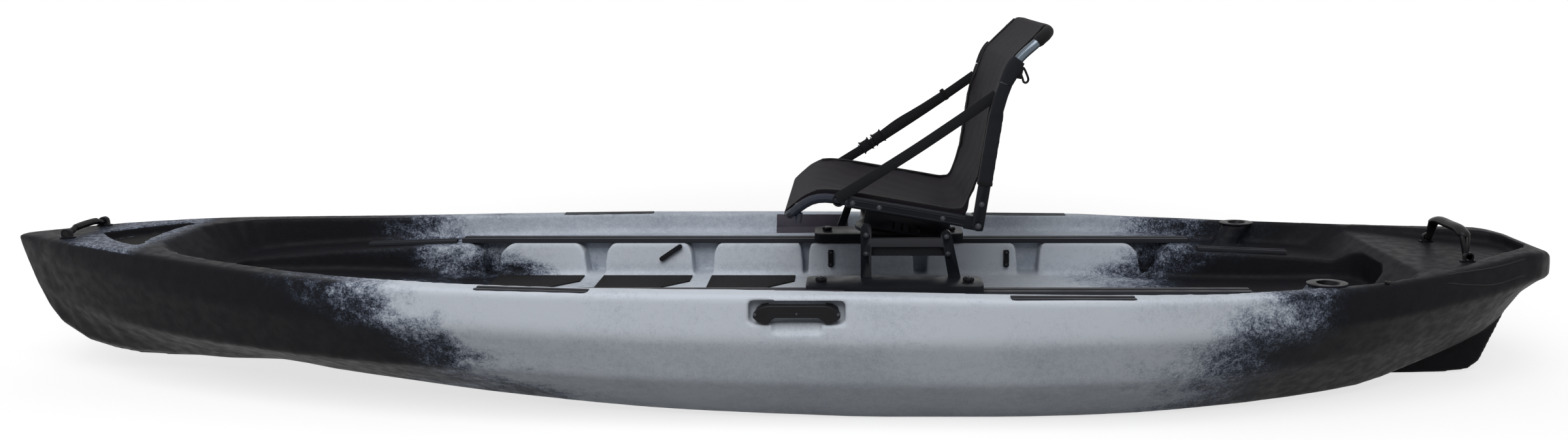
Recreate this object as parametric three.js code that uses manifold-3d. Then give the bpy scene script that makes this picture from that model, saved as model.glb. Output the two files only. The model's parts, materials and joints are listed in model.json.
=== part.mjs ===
// Fishing kayak with a moulded hull, accessory tracks and a turning, folding seat.
// Millimetres. +X runs to the stern, +Y to starboard, +Z up. The origin is on the
// ground under the middle of the hull, and the bow points along -X.
import * as THREE from 'three';
import { mergeVertices } from 'three/addons/utils/BufferGeometryUtils.js';
import Module from 'manifold-3d';

const wasm = await Module();
wasm.setup();

// Driving dimensions of the hull
const hullLength = 3860;
const mainTrackSpan = 262;
const sideWidth = 202;
const hullHalfBeam = mainTrackSpan + sideWidth;
const gunwaleHeight = 335;
const rimWidth = 50;
const skegHalfWidth = 14;
const cornerReach = 12;
const stationStep = 110;

// Driving dimensions of the cockpit liner
const ledgeHeight = 285;
const aftLedgeHeight = 268;
const floorHeight = 200;
const wellDraft = 8;
const wellLean = 80;
const floorInset = 16;
const troughLip = 22;
const troughHalfWidth = mainTrackSpan - troughLip;
const grooveDepth = 40;
const sternDeckHeight = 323;

// Driving dimensions of the accessory tracks
const trackWidth = 38;
const trackHeight = 12;
const trackFloor = 2.5;
const trackLip = 4;
const slotWidth = 8;
const slotCavity = 19;
const trackBowSetback = 1023;
const trackSternSetback = 838;
const mainTrackBow = trackBowSetback - hullLength / 2;
const mainTrackStern = hullLength / 2 - trackSternSetback;
const ledgeTrackWidth = 26;
const ledgeTrackHeight = 9;
const rimTrackWidth = 28;

// Driving dimensions of the seat base, which slides on the main tracks
const baseCentre = 268;
const beamLength = 407;
const beamWidth = 95;
const beamHeight = 20;
const legThickness = 16;
const legInset = 46;
const legInner = mainTrackSpan - legInset;
const frontLegWidth = 25;
const frontLegTop = 446;
const basePlateTop = 386;
const plateFold = 20;
const frontLegPlace = -78;
const rearLegFoot = 127;
const rearLegTop = 108;
const rearLegPeak = 430;
const legBarLow = 391;
const legBarHigh = 411;
const swivelRadius = 92;
const ringThickness = 4;
const hubRadius = 60;

// Driving dimensions of the turning seat
const seatTilt = 9.8;
const panHeight = 482;
const railClearance = 3;
const railSpan = legInner + legThickness + railClearance;
const railWidth = 24;
const railHeight = 26;
const railFront = -110;
const railRear = 168;
const frameTube = 11;
const bracketHalfWidth = 162;
const bracketFront = -62;
const bracketRear = 142;
const bracketDepth = 39;
const bracketTop = -30;
const sheet = 4;
const slingThickness = 5;
const slingSag = 14;

// Driving dimensions of the folding back
const hingeAlong = 193;
const hingeBlockHeight = 31;
const hingePin = 4;
const uprightWidth = 27;
const uprightThickness = 16;
const strapWidth = 25;
const strapThickness = 2;

// Driving dimensions of handles and fittings
const gripWidth = 31;
const gripThickness = 16;
const handleMiddle = 52;
const handleLength = 188;
const pocketDepth = 40;
const rodTubeRadius = 24;
const rodTubeWall = 2.5;
const padThickness = 4;
const gap = 0.3;
const overrun = 60;

const halfLength = hullLength / 2;

// Hull lines. Places are shares of the half length, widths of the half beam and
// heights of the gunwale height. Columns: place, keel, root half width, root,
// bottom half width, bottom, chine half width, chine, knuckle half width, knuckle,
// rim half width, rim.
const hullLineShares = [
  [-1, 1, 0.003, 1.003, 0.006, 1.01, 0.012, 1.03, 0.018, 1.06, 0.023, 1.101],
  [-0.996, 0.893, 0.005, 0.9, 0.009, 0.91, 0.018, 0.97, 0.03, 1.056, 0.036, 1.104],
  [-0.988, 0.713, 0.006, 0.722, 0.012, 0.74, 0.03, 0.87, 0.056, 1.053, 0.06, 1.107],
  [-0.976, 0.525, 0.008, 0.537, 0.017, 0.56, 0.052, 0.77, 0.088, 1.05, 0.085, 1.11],
  [-0.962, 0.4, 0.01, 0.413, 0.024, 0.435, 0.082, 0.71, 0.122, 1.043, 0.112, 1.112],
  [-0.93, 0.263, 0.012, 0.277, 0.042, 0.31, 0.14, 0.65, 0.205, 1.03, 0.187, 1.115],
  [-0.897, 0.2, 0.014, 0.214, 0.06, 0.25, 0.203, 0.605, 0.274, 1.01, 0.25, 1.117],
  [-0.863, 0.161, 0.016, 0.176, 0.08, 0.22, 0.265, 0.57, 0.336, 0.985, 0.31, 1.115],
  [-0.793, 0.14, 0.018, 0.156, 0.13, 0.21, 0.378, 0.52, 0.452, 0.925, 0.428, 1.104],
  [-0.723, 0.125, 0.022, 0.139, 0.19, 0.205, 0.475, 0.49, 0.555, 0.875, 0.53, 1.083],
  [-0.671, 0.118, 0.03, 0.13, 0.24, 0.226, 0.54, 0.475, 0.625, 0.845, 0.6, 1.066],
  [-0.643, 0.112, 0.034, 0.124, 0.262, 0.231, 0.572, 0.47, 0.66, 0.831, 0.635, 1.057],
  [-0.57, 0.08, 0.05, 0.09, 0.325, 0.187, 0.65, 0.455, 0.745, 0.8, 0.722, 1.036],
  [-0.466, 0.036, 0.08, 0.04, 0.405, 0.14, 0.74, 0.44, 0.84, 0.78, 0.815, 1.02],
  [-0.363, 0.013, 0.12, 0.015, 0.495, 0.104, 0.805, 0.425, 0.9, 0.765, 0.875, 1.012],
  [-0.259, 0.003, 0.15, 0.004, 0.575, 0.08, 0.85, 0.405, 0.945, 0.745, 0.92, 1.009],
  [-0.13, 0, 0.18, 0, 0.635, 0.045, 0.885, 0.385, 0.97, 0.72, 0.945, 1.003],
  [0, 0, 0.18, 0, 0.66, 0.02, 0.893, 0.365, 0.982, 0.7, 0.958, 1],
  [0.13, 0, 0.18, 0, 0.668, 0, 0.903, 0.355, 0.992, 0.69, 0.968, 0.993],
  [0.259, 0, 0.18, 0, 0.668, 0, 0.915, 0.355, 1, 0.692, 0.982, 0.982],
  [0.389, 0, 0.18, 0, 0.655, 0.012, 0.91, 0.375, 0.997, 0.705, 0.977, 0.978],
  [0.518, 0, 0.12, 0.006, 0.585, 0.029, 0.835, 0.395, 0.93, 0.712, 0.908, 0.968],
  [0.622, 0, 0.065, 0.024, 0.495, 0.049, 0.735, 0.425, 0.842, 0.738, 0.818, 0.968],
  [0.725, 0, 0.055, 0.055, 0.37, 0.077, 0.59, 0.465, 0.72, 0.765, 0.694, 0.982],
  [0.803, 0, 0.05, 0.13, 0.25, 0.167, 0.455, 0.51, 0.6, 0.79, 0.57, 1.003],
  [0.881, 0.012, 0.045, 0.26, 0.14, 0.29, 0.31, 0.555, 0.455, 0.825, 0.425, 1.036],
  [0.912, 0.035, 0.043, 0.33, 0.1, 0.355, 0.24, 0.6, 0.395, 0.85, 0.365, 1.052],
  [0.926, 0.105, 0.04, 0.38, 0.08, 0.405, 0.205, 0.63, 0.365, 0.865, 0.337, 1.058],
  [0.939, 0.305, 0.035, 0.44, 0.062, 0.46, 0.165, 0.66, 0.34, 0.875, 0.318, 1.06],
  [0.952, 0.5, 0.03, 0.535, 0.05, 0.55, 0.13, 0.69, 0.31, 0.872, 0.29, 1.055],
  [0.968, 0.655, 0.025, 0.672, 0.042, 0.686, 0.1, 0.74, 0.25, 0.86, 0.235, 1.037],
  [0.982, 0.722, 0.02, 0.735, 0.033, 0.745, 0.07, 0.778, 0.17, 0.838, 0.155, 0.998],
  [1, 0.775, 0.012, 0.78, 0.02, 0.785, 0.032, 0.792, 0.044, 0.8, 0.04, 0.835],
];

// Cockpit opening. Columns: place as a share of the half length, half width as a
// share of the half beam at the rim's inner edge.
const wellShares = [
  [-0.787, 0.16], [-0.78, 0.24], [-0.765, 0.31], [-0.746, 0.37], [-0.712, 0.44], [-0.619, 0.555],
  [-0.53, 0.648], [-0.367, 0.761], [-0.212, 0.821], [0, 0.845], [0.16, 0.862], [0.381, 0.873],
  [0.518, 0.83], [0.6, 0.757], [0.714, 0.664], [0.76, 0.6], [0.78, 0.53], [0.79, 0.44],
];

// Recessed stern deck. Columns as for the cockpit opening.
const sternDeckShares = [
  [0.77, 0.5], [0.79, 0.53], [0.85, 0.41], [0.881, 0.323], [0.92, 0.24], [0.945, 0.17], [0.955, 0.1],
];

// Trough between the ledges. Columns: place as a share of the half length, half
// width as a share of the trough's own, floor as a share of the floor height.
const troughShares = [
  [-0.73, 0.2, 1.3], [-0.722, 0.32, 1.28], [-0.7, 0.42, 1.25], [-0.674, 0.5, 1.22],
  [-0.622, 0.64, 1.18], [-0.518, 0.83, 1.085], [-0.466, 0.93, 1.03], [-0.43, 0.98, 1],
  [-0.4, 1, 1], [0.466, 1, 1], [0.518, 0.94, 0.985], [0.57, 0.88, 0.99], [0.622, 0.81, 1],
  [0.7, 0.66, 1.05], [0.745, 0.54, 1.1], [0.765, 0.4, 1.14], [0.772, 0.25, 1.16],
];

// Grooves of the liner. Columns: place as a share of the half length, width at
// the floor and width at the ledge as shares of the groove depth.
const grooveShares = [
  [-0.427, 0.75, 2.9], [-0.279, 1.2, 2.5], [-0.126, 1.3, 2.35], [0.02, 0.35, 0.85],
  [0.184, 0.9, 1.5], [0.337, 1.4, 2.15], [0.508, 1, 2.9],
];

const colours = {
  hull: new THREE.MeshStandardMaterial({ color: 0x6f7884, roughness: 0.55, metalness: 0 }),
  aluminium: new THREE.MeshStandardMaterial({ color: 0x1c1d20, roughness: 0.4, metalness: 0.7 }),
  steel: new THREE.MeshStandardMaterial({ color: 0x8a8c90, roughness: 0.3, metalness: 1 }),
  plastic: new THREE.MeshStandardMaterial({ color: 0x18191b, roughness: 0.5, metalness: 0 }),
  rubber: new THREE.MeshStandardMaterial({ color: 0x1b1b1d, roughness: 0.9, metalness: 0 }),
  fabric: new THREE.MeshStandardMaterial({ color: 0x2a2627, roughness: 0.95, metalness: 0 }),
  webbing: new THREE.MeshStandardMaterial({ color: 0x141416, roughness: 0.85, metalness: 0 }),
};

const kayak = new THREE.Group();

// Solid helpers

function signedVolume(geometry) {
  const place = geometry.getAttribute('position');
  const [a, b, c] = [new THREE.Vector3(), new THREE.Vector3(), new THREE.Vector3()];
  let sum = 0;
  for (let i = 0; i < geometry.index.count; i += 3) {
    a.fromBufferAttribute(place, geometry.index.getX(i));
    b.fromBufferAttribute(place, geometry.index.getX(i + 1));
    c.fromBufferAttribute(place, geometry.index.getX(i + 2));
    sum += a.dot(b.cross(c));
  }
  return sum;
}

function merged(geometry) {
  const plain = new THREE.BufferGeometry();
  plain.setAttribute('position', geometry.getAttribute('position').clone());
  if (geometry.index) plain.setIndex(geometry.index.clone());
  const solid = mergeVertices(plain, 1e-4);
  if (signedVolume(solid) < 0) {
    const flipped = Array.from(solid.index.array);
    for (let i = 0; i < flipped.length; i += 3) {
      [flipped[i], flipped[i + 1]] = [flipped[i + 1], flipped[i]];
    }
    solid.setIndex(flipped);
  }
  return solid;
}

function toSolid(geometry, matrix) {
  const shape = merged(geometry);
  if (matrix) shape.applyMatrix4(matrix);
  const mesh = new wasm.Mesh({
    numProp: 3,
    vertProperties: new Float32Array(shape.getAttribute('position').array),
    triVerts: new Uint32Array(shape.index.array),
  });
  return new wasm.Manifold(mesh);
}

function toGeometry(solid) {
  const mesh = solid.getMesh();
  const geometry = new THREE.BufferGeometry();
  geometry.setAttribute('position', new THREE.BufferAttribute(mesh.vertProperties, 3));
  geometry.setIndex(new THREE.BufferAttribute(mesh.triVerts, 1));
  return geometry;
}

function cut(geometry, tools) {
  let solid = toSolid(geometry);
  tools.forEach((tool) => { solid = solid.subtract(toSolid(tool)); });
  return toGeometry(solid);
}

function join(geometries) {
  let solid = toSolid(geometries[0]);
  geometries.slice(1).forEach((part) => { solid = solid.add(toSolid(part)); });
  return toGeometry(solid);
}

function addPart(name, geometry, material, parent = kayak) {
  const mesh = new THREE.Mesh(geometry, material);
  mesh.name = name;
  parent.add(mesh);
  return mesh;
}

// Strips that close the end of a ring that goes out and comes back beside itself
function foldedEnd(first, count, turned) {
  const index = [];
  for (let j = 0; j < count / 2 - 1; j += 1) {
    const [a, b, c, d] = [first + j, first + j + 1, first + count - 2 - j, first + count - 1 - j];
    if (turned) index.push(a, c, b, a, d, c);
    else index.push(a, b, c, a, c, d);
  }
  return index;
}

// A closed skin over rings of points. Each end is a fan about its middle, or a
// row of strips between the two layers of a folded ring.
function loft(rings, folded = false) {
  const count = rings[0].length;
  const positions = [];
  const index = [];
  rings.flat().forEach((p) => positions.push(p.x, p.y, p.z));
  for (let i = 0; i < rings.length - 1; i += 1) {
    for (let j = 0; j < count; j += 1) {
      const a = i * count + j;
      const b = i * count + ((j + 1) % count);
      index.push(a, b, b + count, a, b + count, a + count);
    }
  }
  const ends = [0, rings.length - 1];
  if (folded) ends.forEach((end) => index.push(...foldedEnd(end * count, count, end === 0)));
  else ends.forEach((end) => {
    const centre = new THREE.Vector3();
    rings[end].forEach((p) => centre.addScaledVector(p, 1 / count));
    const hub = positions.length / 3;
    positions.push(centre.x, centre.y, centre.z);
    for (let j = 0; j < count; j += 1) {
      const a = end * count + j;
      const b = end * count + ((j + 1) % count);
      if (end === 0) index.push(b, a, hub);
      else index.push(a, b, hub);
    }
  });
  const geometry = new THREE.BufferGeometry();
  geometry.setAttribute('position', new THREE.Float32BufferAttribute(positions, 3));
  geometry.setIndex(index);
  return geometry;
}

function box(x0, x1, y0, y1, z0, z1) {
  const geometry = new THREE.BoxGeometry(x1 - x0, y1 - y0, z1 - z0);
  return geometry.translate((x0 + x1) / 2, (y0 + y1) / 2, (z0 + z1) / 2);
}

// A flat outline in X and Z, extruded along Y
function sidePlate(points, y0, y1) {
  const shape = points instanceof THREE.Shape ? points : outline(points);
  const geometry = new THREE.ExtrudeGeometry(shape, { depth: y1 - y0, bevelEnabled: false, curveSegments: 5 });
  return geometry.rotateX(Math.PI / 2).translate(0, y1, 0);
}

function outline(points) {
  return new THREE.Shape(points.map(([x, y]) => new THREE.Vector2(x, y)));
}

function roundedOutline(x0, x1, y0, y1, radius) {
  const shape = new THREE.Shape();
  shape.moveTo(x0 + radius, y0);
  shape.lineTo(x1 - radius, y0);
  shape.absarc(x1 - radius, y0 + radius, radius, -Math.PI / 2, 0);
  shape.lineTo(x1, y1 - radius);
  shape.absarc(x1 - radius, y1 - radius, radius, 0, Math.PI / 2);
  shape.lineTo(x0 + radius, y1);
  shape.absarc(x0 + radius, y1 - radius, radius, Math.PI / 2, Math.PI);
  shape.lineTo(x0, y0 + radius);
  shape.absarc(x0 + radius, y0 + radius, radius, Math.PI, Math.PI * 1.5);
  return shape;
}

// A flat outline in X and Y, extruded along Z
function floorPlate(shape, z0, z1) {
  const options = { depth: z1 - z0, bevelEnabled: false, curveSegments: 4 };
  return new THREE.ExtrudeGeometry(shape, options).translate(0, 0, z0);
}

function post(radius, x, y, z0, z1, sides = 16) {
  const geometry = new THREE.CylinderGeometry(radius, radius, z1 - z0, sides);
  return geometry.rotateX(Math.PI / 2).translate(x, y, (z0 + z1) / 2);
}

// A round pin along Y
function pin(radius, x, y0, y1, z, sides = 14) {
  const geometry = new THREE.CylinderGeometry(radius, radius, y1 - y0, sides);
  return geometry.translate(x, (y0 + y1) / 2, z);
}

function tube(points, radius, sides, steps) {
  const path = new THREE.CatmullRomCurve3(points.map(([x, y, z]) => new THREE.Vector3(x, y, z)));
  const round = new THREE.Shape();
  round.absarc(0, 0, radius, 0, Math.PI * 2);
  return new THREE.ExtrudeGeometry(round, { steps, extrudePath: path, curveSegments: sides / 2 });
}

// A smooth line through the shares of a table that never overshoots them
function smoothLine(rows, column) {
  const places = rows.map((row) => row[0]);
  const values = rows.map((row) => row[column]);
  const slopes = places.slice(1).map((p, i) => (values[i + 1] - values[i]) / (p - places[i]));
  const tangents = values.map((value, i) => {
    if (i === 0) return slopes[0];
    if (i === slopes.length) return slopes[i - 1];
    const product = slopes[i - 1] * slopes[i];
    return product <= 0 ? 0 : (2 * product) / (slopes[i - 1] + slopes[i]);
  });
  return (place) => {
    const last = places.length - 2;
    const i = Math.min(last, Math.max(0, places.findIndex((p) => p > place) - 1));
    const k = place >= places[last + 1] ? last : i;
    const width = places[k + 1] - places[k];
    const t = Math.min(1, Math.max(0, (place - places[k]) / width));
    const hermite = [
      2 * t ** 3 - 3 * t ** 2 + 1,
      t ** 3 - 2 * t ** 2 + t,
      3 * t ** 2 - 2 * t ** 3,
      t ** 3 - t ** 2,
    ];
    return values[k] * hermite[0] + width * tangents[k] * hermite[1]
      + values[k + 1] * hermite[2] + width * tangents[k + 1] * hermite[3];
  };
}

// Places of the table's rows, with even steps between those that lie far apart
function stationPlaces(rows, step) {
  const places = [];
  rows.slice(1).forEach((row, i) => {
    const from = rows[i][0];
    const count = Math.ceil(((row[0] - from) * halfLength) / step);
    for (let k = 0; k < count; k += 1) places.push(from + ((row[0] - from) * k) / count);
  });
  places.push(rows[rows.length - 1][0]);
  return places;
}

// Each corner becomes two points and one between them on the rounded edge
function roundCorners(points, reach) {
  return points.map((p, i) => {
    if (i === 0 || i === points.length - 1) return [p];
    const ends = [points[i - 1], points[i + 1]].map((other) => {
      const share = Math.min(0.38, reach / p.distanceTo(other));
      return p.clone().lerp(other, share);
    });
    const middle = ends[0].clone().add(ends[1]).multiplyScalar(0.25).addScaledVector(p, 0.5);
    return [ends[0], middle, ends[1]];
  }).flat();
}

function mirrored(half) {
  const other = half.slice(1, -1).reverse().map((p) => new THREE.Vector3(p.x, -p.y, p.z));
  return half.concat(other);
}

// Hull

const hullLines = hullLineShares[0].map((share, column) => smoothLine(hullLineShares, column));
const widthAt = (x, column) => hullLines[column](x / halfLength) * hullHalfBeam;
const heightAt = (x, column) => hullLines[column](x / halfLength) * gunwaleHeight;
const rimHalfAt = (x) => widthAt(x, 10);
const rimHeightAt = (x) => heightAt(x, 11);
const wellLine = smoothLine(wellShares, 1);
const wellHalfAt = (x) => wellLine(x / halfLength) * hullHalfBeam;

function hullRing(place) {
  const x = place * halfLength;
  const keel = heightAt(x, 1);
  const rootHalf = widthAt(x, 2);
  const corners = [
    new THREE.Vector3(x, rootHalf, heightAt(x, 3)),
    new THREE.Vector3(x, widthAt(x, 4), heightAt(x, 5)),
    new THREE.Vector3(x, widthAt(x, 6), heightAt(x, 7)),
    new THREE.Vector3(x, widthAt(x, 8), heightAt(x, 9)),
    new THREE.Vector3(x, rimHalfAt(x), rimHeightAt(x)),
    new THREE.Vector3(x, 0, rimHeightAt(x)),
  ];
  const keelEdge = new THREE.Vector3(x, Math.min(skegHalfWidth, rootHalf * 0.7), keel);
  return mirrored([new THREE.Vector3(x, 0, keel), keelEdge, ...roundCorners(corners, cornerReach)]);
}

// Upper part of the cockpit, from the rim down to the ledges
function wellRings(z0, fromPlace, toPlace) {
  const rows = wellShares.filter((row) => row[0] >= fromPlace && row[0] <= toPlace);
  if (rows[0][0] > fromPlace) rows.unshift([fromPlace, 0]);
  if (rows[rows.length - 1][0] < toPlace) rows.push([toPlace, 0]);
  return stationPlaces(rows, stationStep).map((place) => {
    const x = place * halfLength;
    const ends = [wellShares[0][0], wellShares[wellShares.length - 1][0]].map((end) => end * halfLength);
    const lean = wellLean * (Math.exp((ends[0] - x) / wellLean) - Math.exp((x - ends[1]) / wellLean));
    const half = wellHalfAt(x);
    const top = rimHeightAt(x) + overrun;
    const rise = (top - z0) / (rimHeightAt(x) - z0) - 1;
    const corners = [
      new THREE.Vector3(x + lean, 0, z0),
      new THREE.Vector3(x + lean, half - wellDraft, z0),
      new THREE.Vector3(x - lean * rise, half + wellDraft * rise, top),
      new THREE.Vector3(x - lean * rise, 0, top),
    ];
    return mirrored([corners[0], ...roundCorners(corners.slice(0, 3), cornerReach).slice(1), corners[3]]);
  });
}

// Lower part of the cockpit, from the ledges down to the floor
function troughRings() {
  const half = smoothLine(troughShares, 1);
  const floor = smoothLine(troughShares, 2);
  return stationPlaces(troughShares, stationStep).map((place) => {
    const x = place * halfLength;
    const top = half(place) * troughHalfWidth;
    const z = floor(place) * floorHeight;
    const foot = Math.max(top - floorInset, top * 0.6);
    const corners = [
      new THREE.Vector3(x, 0, z),
      new THREE.Vector3(x, foot, z),
      new THREE.Vector3(x, top, ledgeHeight + overrun),
      new THREE.Vector3(x, 0, ledgeHeight + overrun),
    ];
    return mirrored([corners[0], ...roundCorners(corners.slice(0, 3), cornerReach).slice(1), corners[3]]);
  });
}

// One groove across a side of the liner, wider at the ledge and rounded there
function grooveTool([place, footShare, headShare], side) {
  const x = place * halfLength;
  const foot = (footShare * grooveDepth) / 2;
  const head = (headShare * grooveDepth) / 2;
  const shoulder = ledgeHeight - (ledgeHeight - floorHeight) * 0.3;
  const waist = foot + (head - foot) * 0.25;
  const shape = new THREE.Shape();
  shape.moveTo(x - foot, floorHeight);
  shape.lineTo(x + foot, floorHeight);
  shape.lineTo(x + waist, shoulder);
  shape.quadraticCurveTo(x + head * 0.85, ledgeHeight, x + head * 1.1, ledgeHeight + gap);
  shape.lineTo(x + head * 1.1, ledgeHeight + overrun / 4);
  shape.lineTo(x - head * 1.1, ledgeHeight + overrun / 4);
  shape.lineTo(x - head * 1.1, ledgeHeight + gap);
  shape.quadraticCurveTo(x - head * 0.85, ledgeHeight, x - waist, shoulder);
  const outer = side * (troughHalfWidth + grooveDepth);
  const inner = side * (troughHalfWidth - floorInset * 1.5);
  return sidePlate(shape, Math.min(inner, outer), Math.max(inner, outer));
}

const recessSetback = 208;
const recessLength = 166;
const recessFront = recessSetback - halfLength;
const recessRear = recessFront + recessLength;
const recessHalfWidth = 122;
const recessDepth = 24;
const lobeRadius = 15;

// Wedge-shaped recess of the bow deck, with a round lobe at each rear corner
function bowRecessShape(shrink) {
  const centre = recessRear - lobeRadius;
  const span = recessHalfWidth - lobeRadius;
  const radius = lobeRadius - shrink;
  const tip = recessFront + shrink * 3;
  const waist = (recessFront + centre) / 2;
  const shape = new THREE.Shape();
  shape.moveTo(tip, 0);
  shape.quadraticCurveTo(waist - shrink, span * 0.82, centre, span + radius);
  shape.absarc(centre, span, radius, Math.PI / 2, -Math.PI * 0.35, true);
  shape.quadraticCurveTo(centre - lobeRadius - shrink * 2, 0, centre + radius * Math.cos(Math.PI * 0.35),
    radius * Math.sin(Math.PI * 0.35) - span);
  shape.absarc(centre, -span, radius, Math.PI * 0.35, -Math.PI / 2, true);
  shape.quadraticCurveTo(waist - shrink, span * -0.82, tip, 0);
  return shape;
}

const pocketHeight = 52;
const pocketTop = 10;
const pocketMargin = 10;
const gripDrop = 8;
const scoopHeight = 20;
const scoopLength = 106;

// Recess in the hull side behind a carry handle, with a scoop for the fingers
function handlePocket(side) {
  const top = rimHeightAt(handleMiddle) - pocketTop;
  const reach = handleLength / 2 + pocketMargin;
  const mouth = roundedOutline(handleMiddle - reach, handleMiddle + reach, top - pocketHeight, top, pocketMargin);
  const wall = widthAt(handleMiddle, 8) + overrun;
  const back = wall - overrun - pocketDepth;
  const y = [side * wall, side * back].sort((a, b) => a - b);
  const scoop = new THREE.CylinderGeometry(scoopHeight, scoopHeight, scoopLength, 18);
  scoop.rotateZ(Math.PI / 2).translate(handleMiddle, side * (wall - overrun), top - pocketHeight);
  return [sidePlate(mouth, y[0], y[1]), scoop];
}

const rodPlace = hullLength * 0.3225;
const rodInset = 20;
const rodLean = 30;
const rodSplay = 14;
const rodDepth = 190;
const rodFlange = 33;
const flangeStretch = 1.4;
const flangeThickness = 3;

// Frame of a rod holder: its mouth at the rim, leaning aft and outward
function rodMatrix(side) {
  const y = side * (wellHalfAt(rodPlace) - rodInset);
  const matrix = new THREE.Matrix4().makeTranslation(rodPlace, y, rimHeightAt(rodPlace) + gap);
  matrix.multiply(new THREE.Matrix4().makeRotationX(side * THREE.MathUtils.degToRad(-rodSplay)));
  return matrix.multiply(new THREE.Matrix4().makeRotationY(THREE.MathUtils.degToRad(rodLean)));
}

// Moulded boss that carries a rod holder, standing out of the cockpit wall
function rodBoss(side) {
  return rodCylinder(rodFlange, -rodDepth * 0.72, overrun, side);
}

function rodCylinder(radius, z0, z1, side) {
  return post(radius, 0, 0, z0, z1, 20).applyMatrix4(rodMatrix(side));
}

// Recess of the stern deck between the rims
function sternDeckRings() {
  const half = smoothLine(sternDeckShares, 1);
  return stationPlaces(sternDeckShares, stationStep).map((place) => {
    const x = place * halfLength;
    const width = half(place) * hullHalfBeam;
    const top = rimHeightAt(x) + overrun;
    const corners = [
      new THREE.Vector3(x, 0, sternDeckHeight),
      new THREE.Vector3(x, width - wellDraft, sternDeckHeight),
      new THREE.Vector3(x, width + wellDraft, top),
      new THREE.Vector3(x, 0, top),
    ];
    return mirrored([corners[0], ...roundCorners(corners.slice(0, 3), cornerReach).slice(1), corners[3]]);
  });
}

function buildHull() {
  const shell = toSolid(loft(stationPlaces(hullLineShares, stationStep).map(hullRing)));
  const start = wellShares[0][0];
  const end = wellShares[wellShares.length - 1][0];
  const step = (mainTrackStern + pocketMargin) / halfLength;
  const tools = [
    loft(wellRings(ledgeHeight, start, step)),
    loft(wellRings(aftLedgeHeight, step - 0.001, end)),
    loft(troughRings()),
    loft(sternDeckRings()),
    floorPlate(bowRecessShape(0), rimHeightAt(recessRear) - recessDepth, gunwaleHeight + overrun * 2),
  ];
  [-1, 1].forEach((side) => {
    grooveShares.forEach((row) => tools.push(grooveTool(row, side)));
    tools.push(...handlePocket(side));
    rimTracks.forEach((track) => tools.push(rimTrackTool(track, side)));
  });
  let solid = shell;
  tools.forEach((tool) => { solid = solid.subtract(toSolid(tool)); });
  [-1, 1].forEach((side) => {
    const boss = toSolid(rodBoss(side)).intersect(shell);
    const bore = toSolid(rodCylinder(rodTubeRadius + gap, -rodDepth - gap, overrun, side));
    solid = solid.add(boss).subtract(bore);
  });
  addPart('hull', toGeometry(solid), colours.hull);
}

// Tracks

// T-slot section with its open side up, centred on Y
function trackSection(width, height) {
  const lip = trackLip * (height / trackHeight);
  const floor = trackFloor;
  const half = width / 2;
  const slot = slotWidth / 2;
  const cavity = Math.min(slotCavity, width - trackLip * 2) / 2;
  return outline([
    [-half, 0], [half, 0], [half, height], [slot, height], [slot, height - lip], [cavity, height - lip],
    [cavity, floor], [-cavity, floor], [-cavity, height - lip], [-slot, height - lip], [-slot, height], [-half, height],
  ]);
}

// A track along +X from its own origin
function trackBar(width, height, length) {
  const bar = new THREE.ExtrudeGeometry(trackSection(width, height), { depth: length, bevelEnabled: false });
  return bar.rotateX(Math.PI / 2).rotateZ(Math.PI / 2);
}

function buildLedgeTracks() {
  [[-1, 'port'], [1, 'starboard']].forEach(([side, word]) => {
    const mainBar = trackBar(trackWidth, trackHeight, mainTrackStern - mainTrackBow);
    const main = addPart(`main_track_${word}`, mainBar,
      colours.aluminium);
    main.position.set(mainTrackBow, side * mainTrackSpan, ledgeHeight + gap);
    const foreStart = new THREE.Vector3(foreTrackFront, side * foreTrackFrontSpan, ledgeHeight + gap);
    const foreEnd = new THREE.Vector3(foreTrackRear, side * foreTrackRearSpan, ledgeHeight + gap);
    addBar(`fore_track_${word}`, foreStart, foreEnd);
    const aftStart = new THREE.Vector3(aftTrackFront, side * aftTrackFrontSpan, aftLedgeHeight + gap);
    const aftEnd = new THREE.Vector3(aftTrackRear, side * aftTrackRearSpan, aftLedgeHeight + gap);
    addBar(`aft_track_${word}`, aftStart, aftEnd);
  });
}

const foreTrackSpacing = 15;
const foreTrackLength = 228;
const foreTrackRear = mainTrackBow - foreTrackSpacing;
const foreTrackFront = foreTrackRear - foreTrackLength;
const foreTrackFrontMargin = 50.7;
const foreTrackRearMargin = 69.1;
const foreTrackFrontSpan = wellHalfAt(foreTrackFront) - foreTrackFrontMargin;
const foreTrackRearSpan = wellHalfAt(foreTrackRear) - foreTrackRearMargin;
const aftTrackSpacing = 24;
const aftTrackSetback = 179;
const aftTrackFront = mainTrackStern + aftTrackSpacing;
const aftTrackRear = wellShares[wellShares.length - 1][0] * halfLength - aftTrackSetback;
const aftTrackFrontMargin = 123.9;
const aftTrackRearMargin = 119.5;
const aftTrackFrontSpan = wellHalfAt(aftTrackFront) - aftTrackFrontMargin;
const aftTrackRearSpan = wellHalfAt(aftTrackRear) - aftTrackRearMargin;

function addBar(name, from, to) {
  const section = trackBar(ledgeTrackWidth, ledgeTrackHeight, from.distanceTo(to));
  const bar = addPart(name, section, colours.aluminium);
  bar.position.copy(from);
  bar.rotation.z = Math.atan2(to.y - from.y, to.x - from.x);
}

// Gear tracks let into the rim. Columns: name, front, rear.
const rimTracks = [
  ['fore_gear_track', -657, -406],
  ['aft_gear_track', 515, 785],
];

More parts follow.
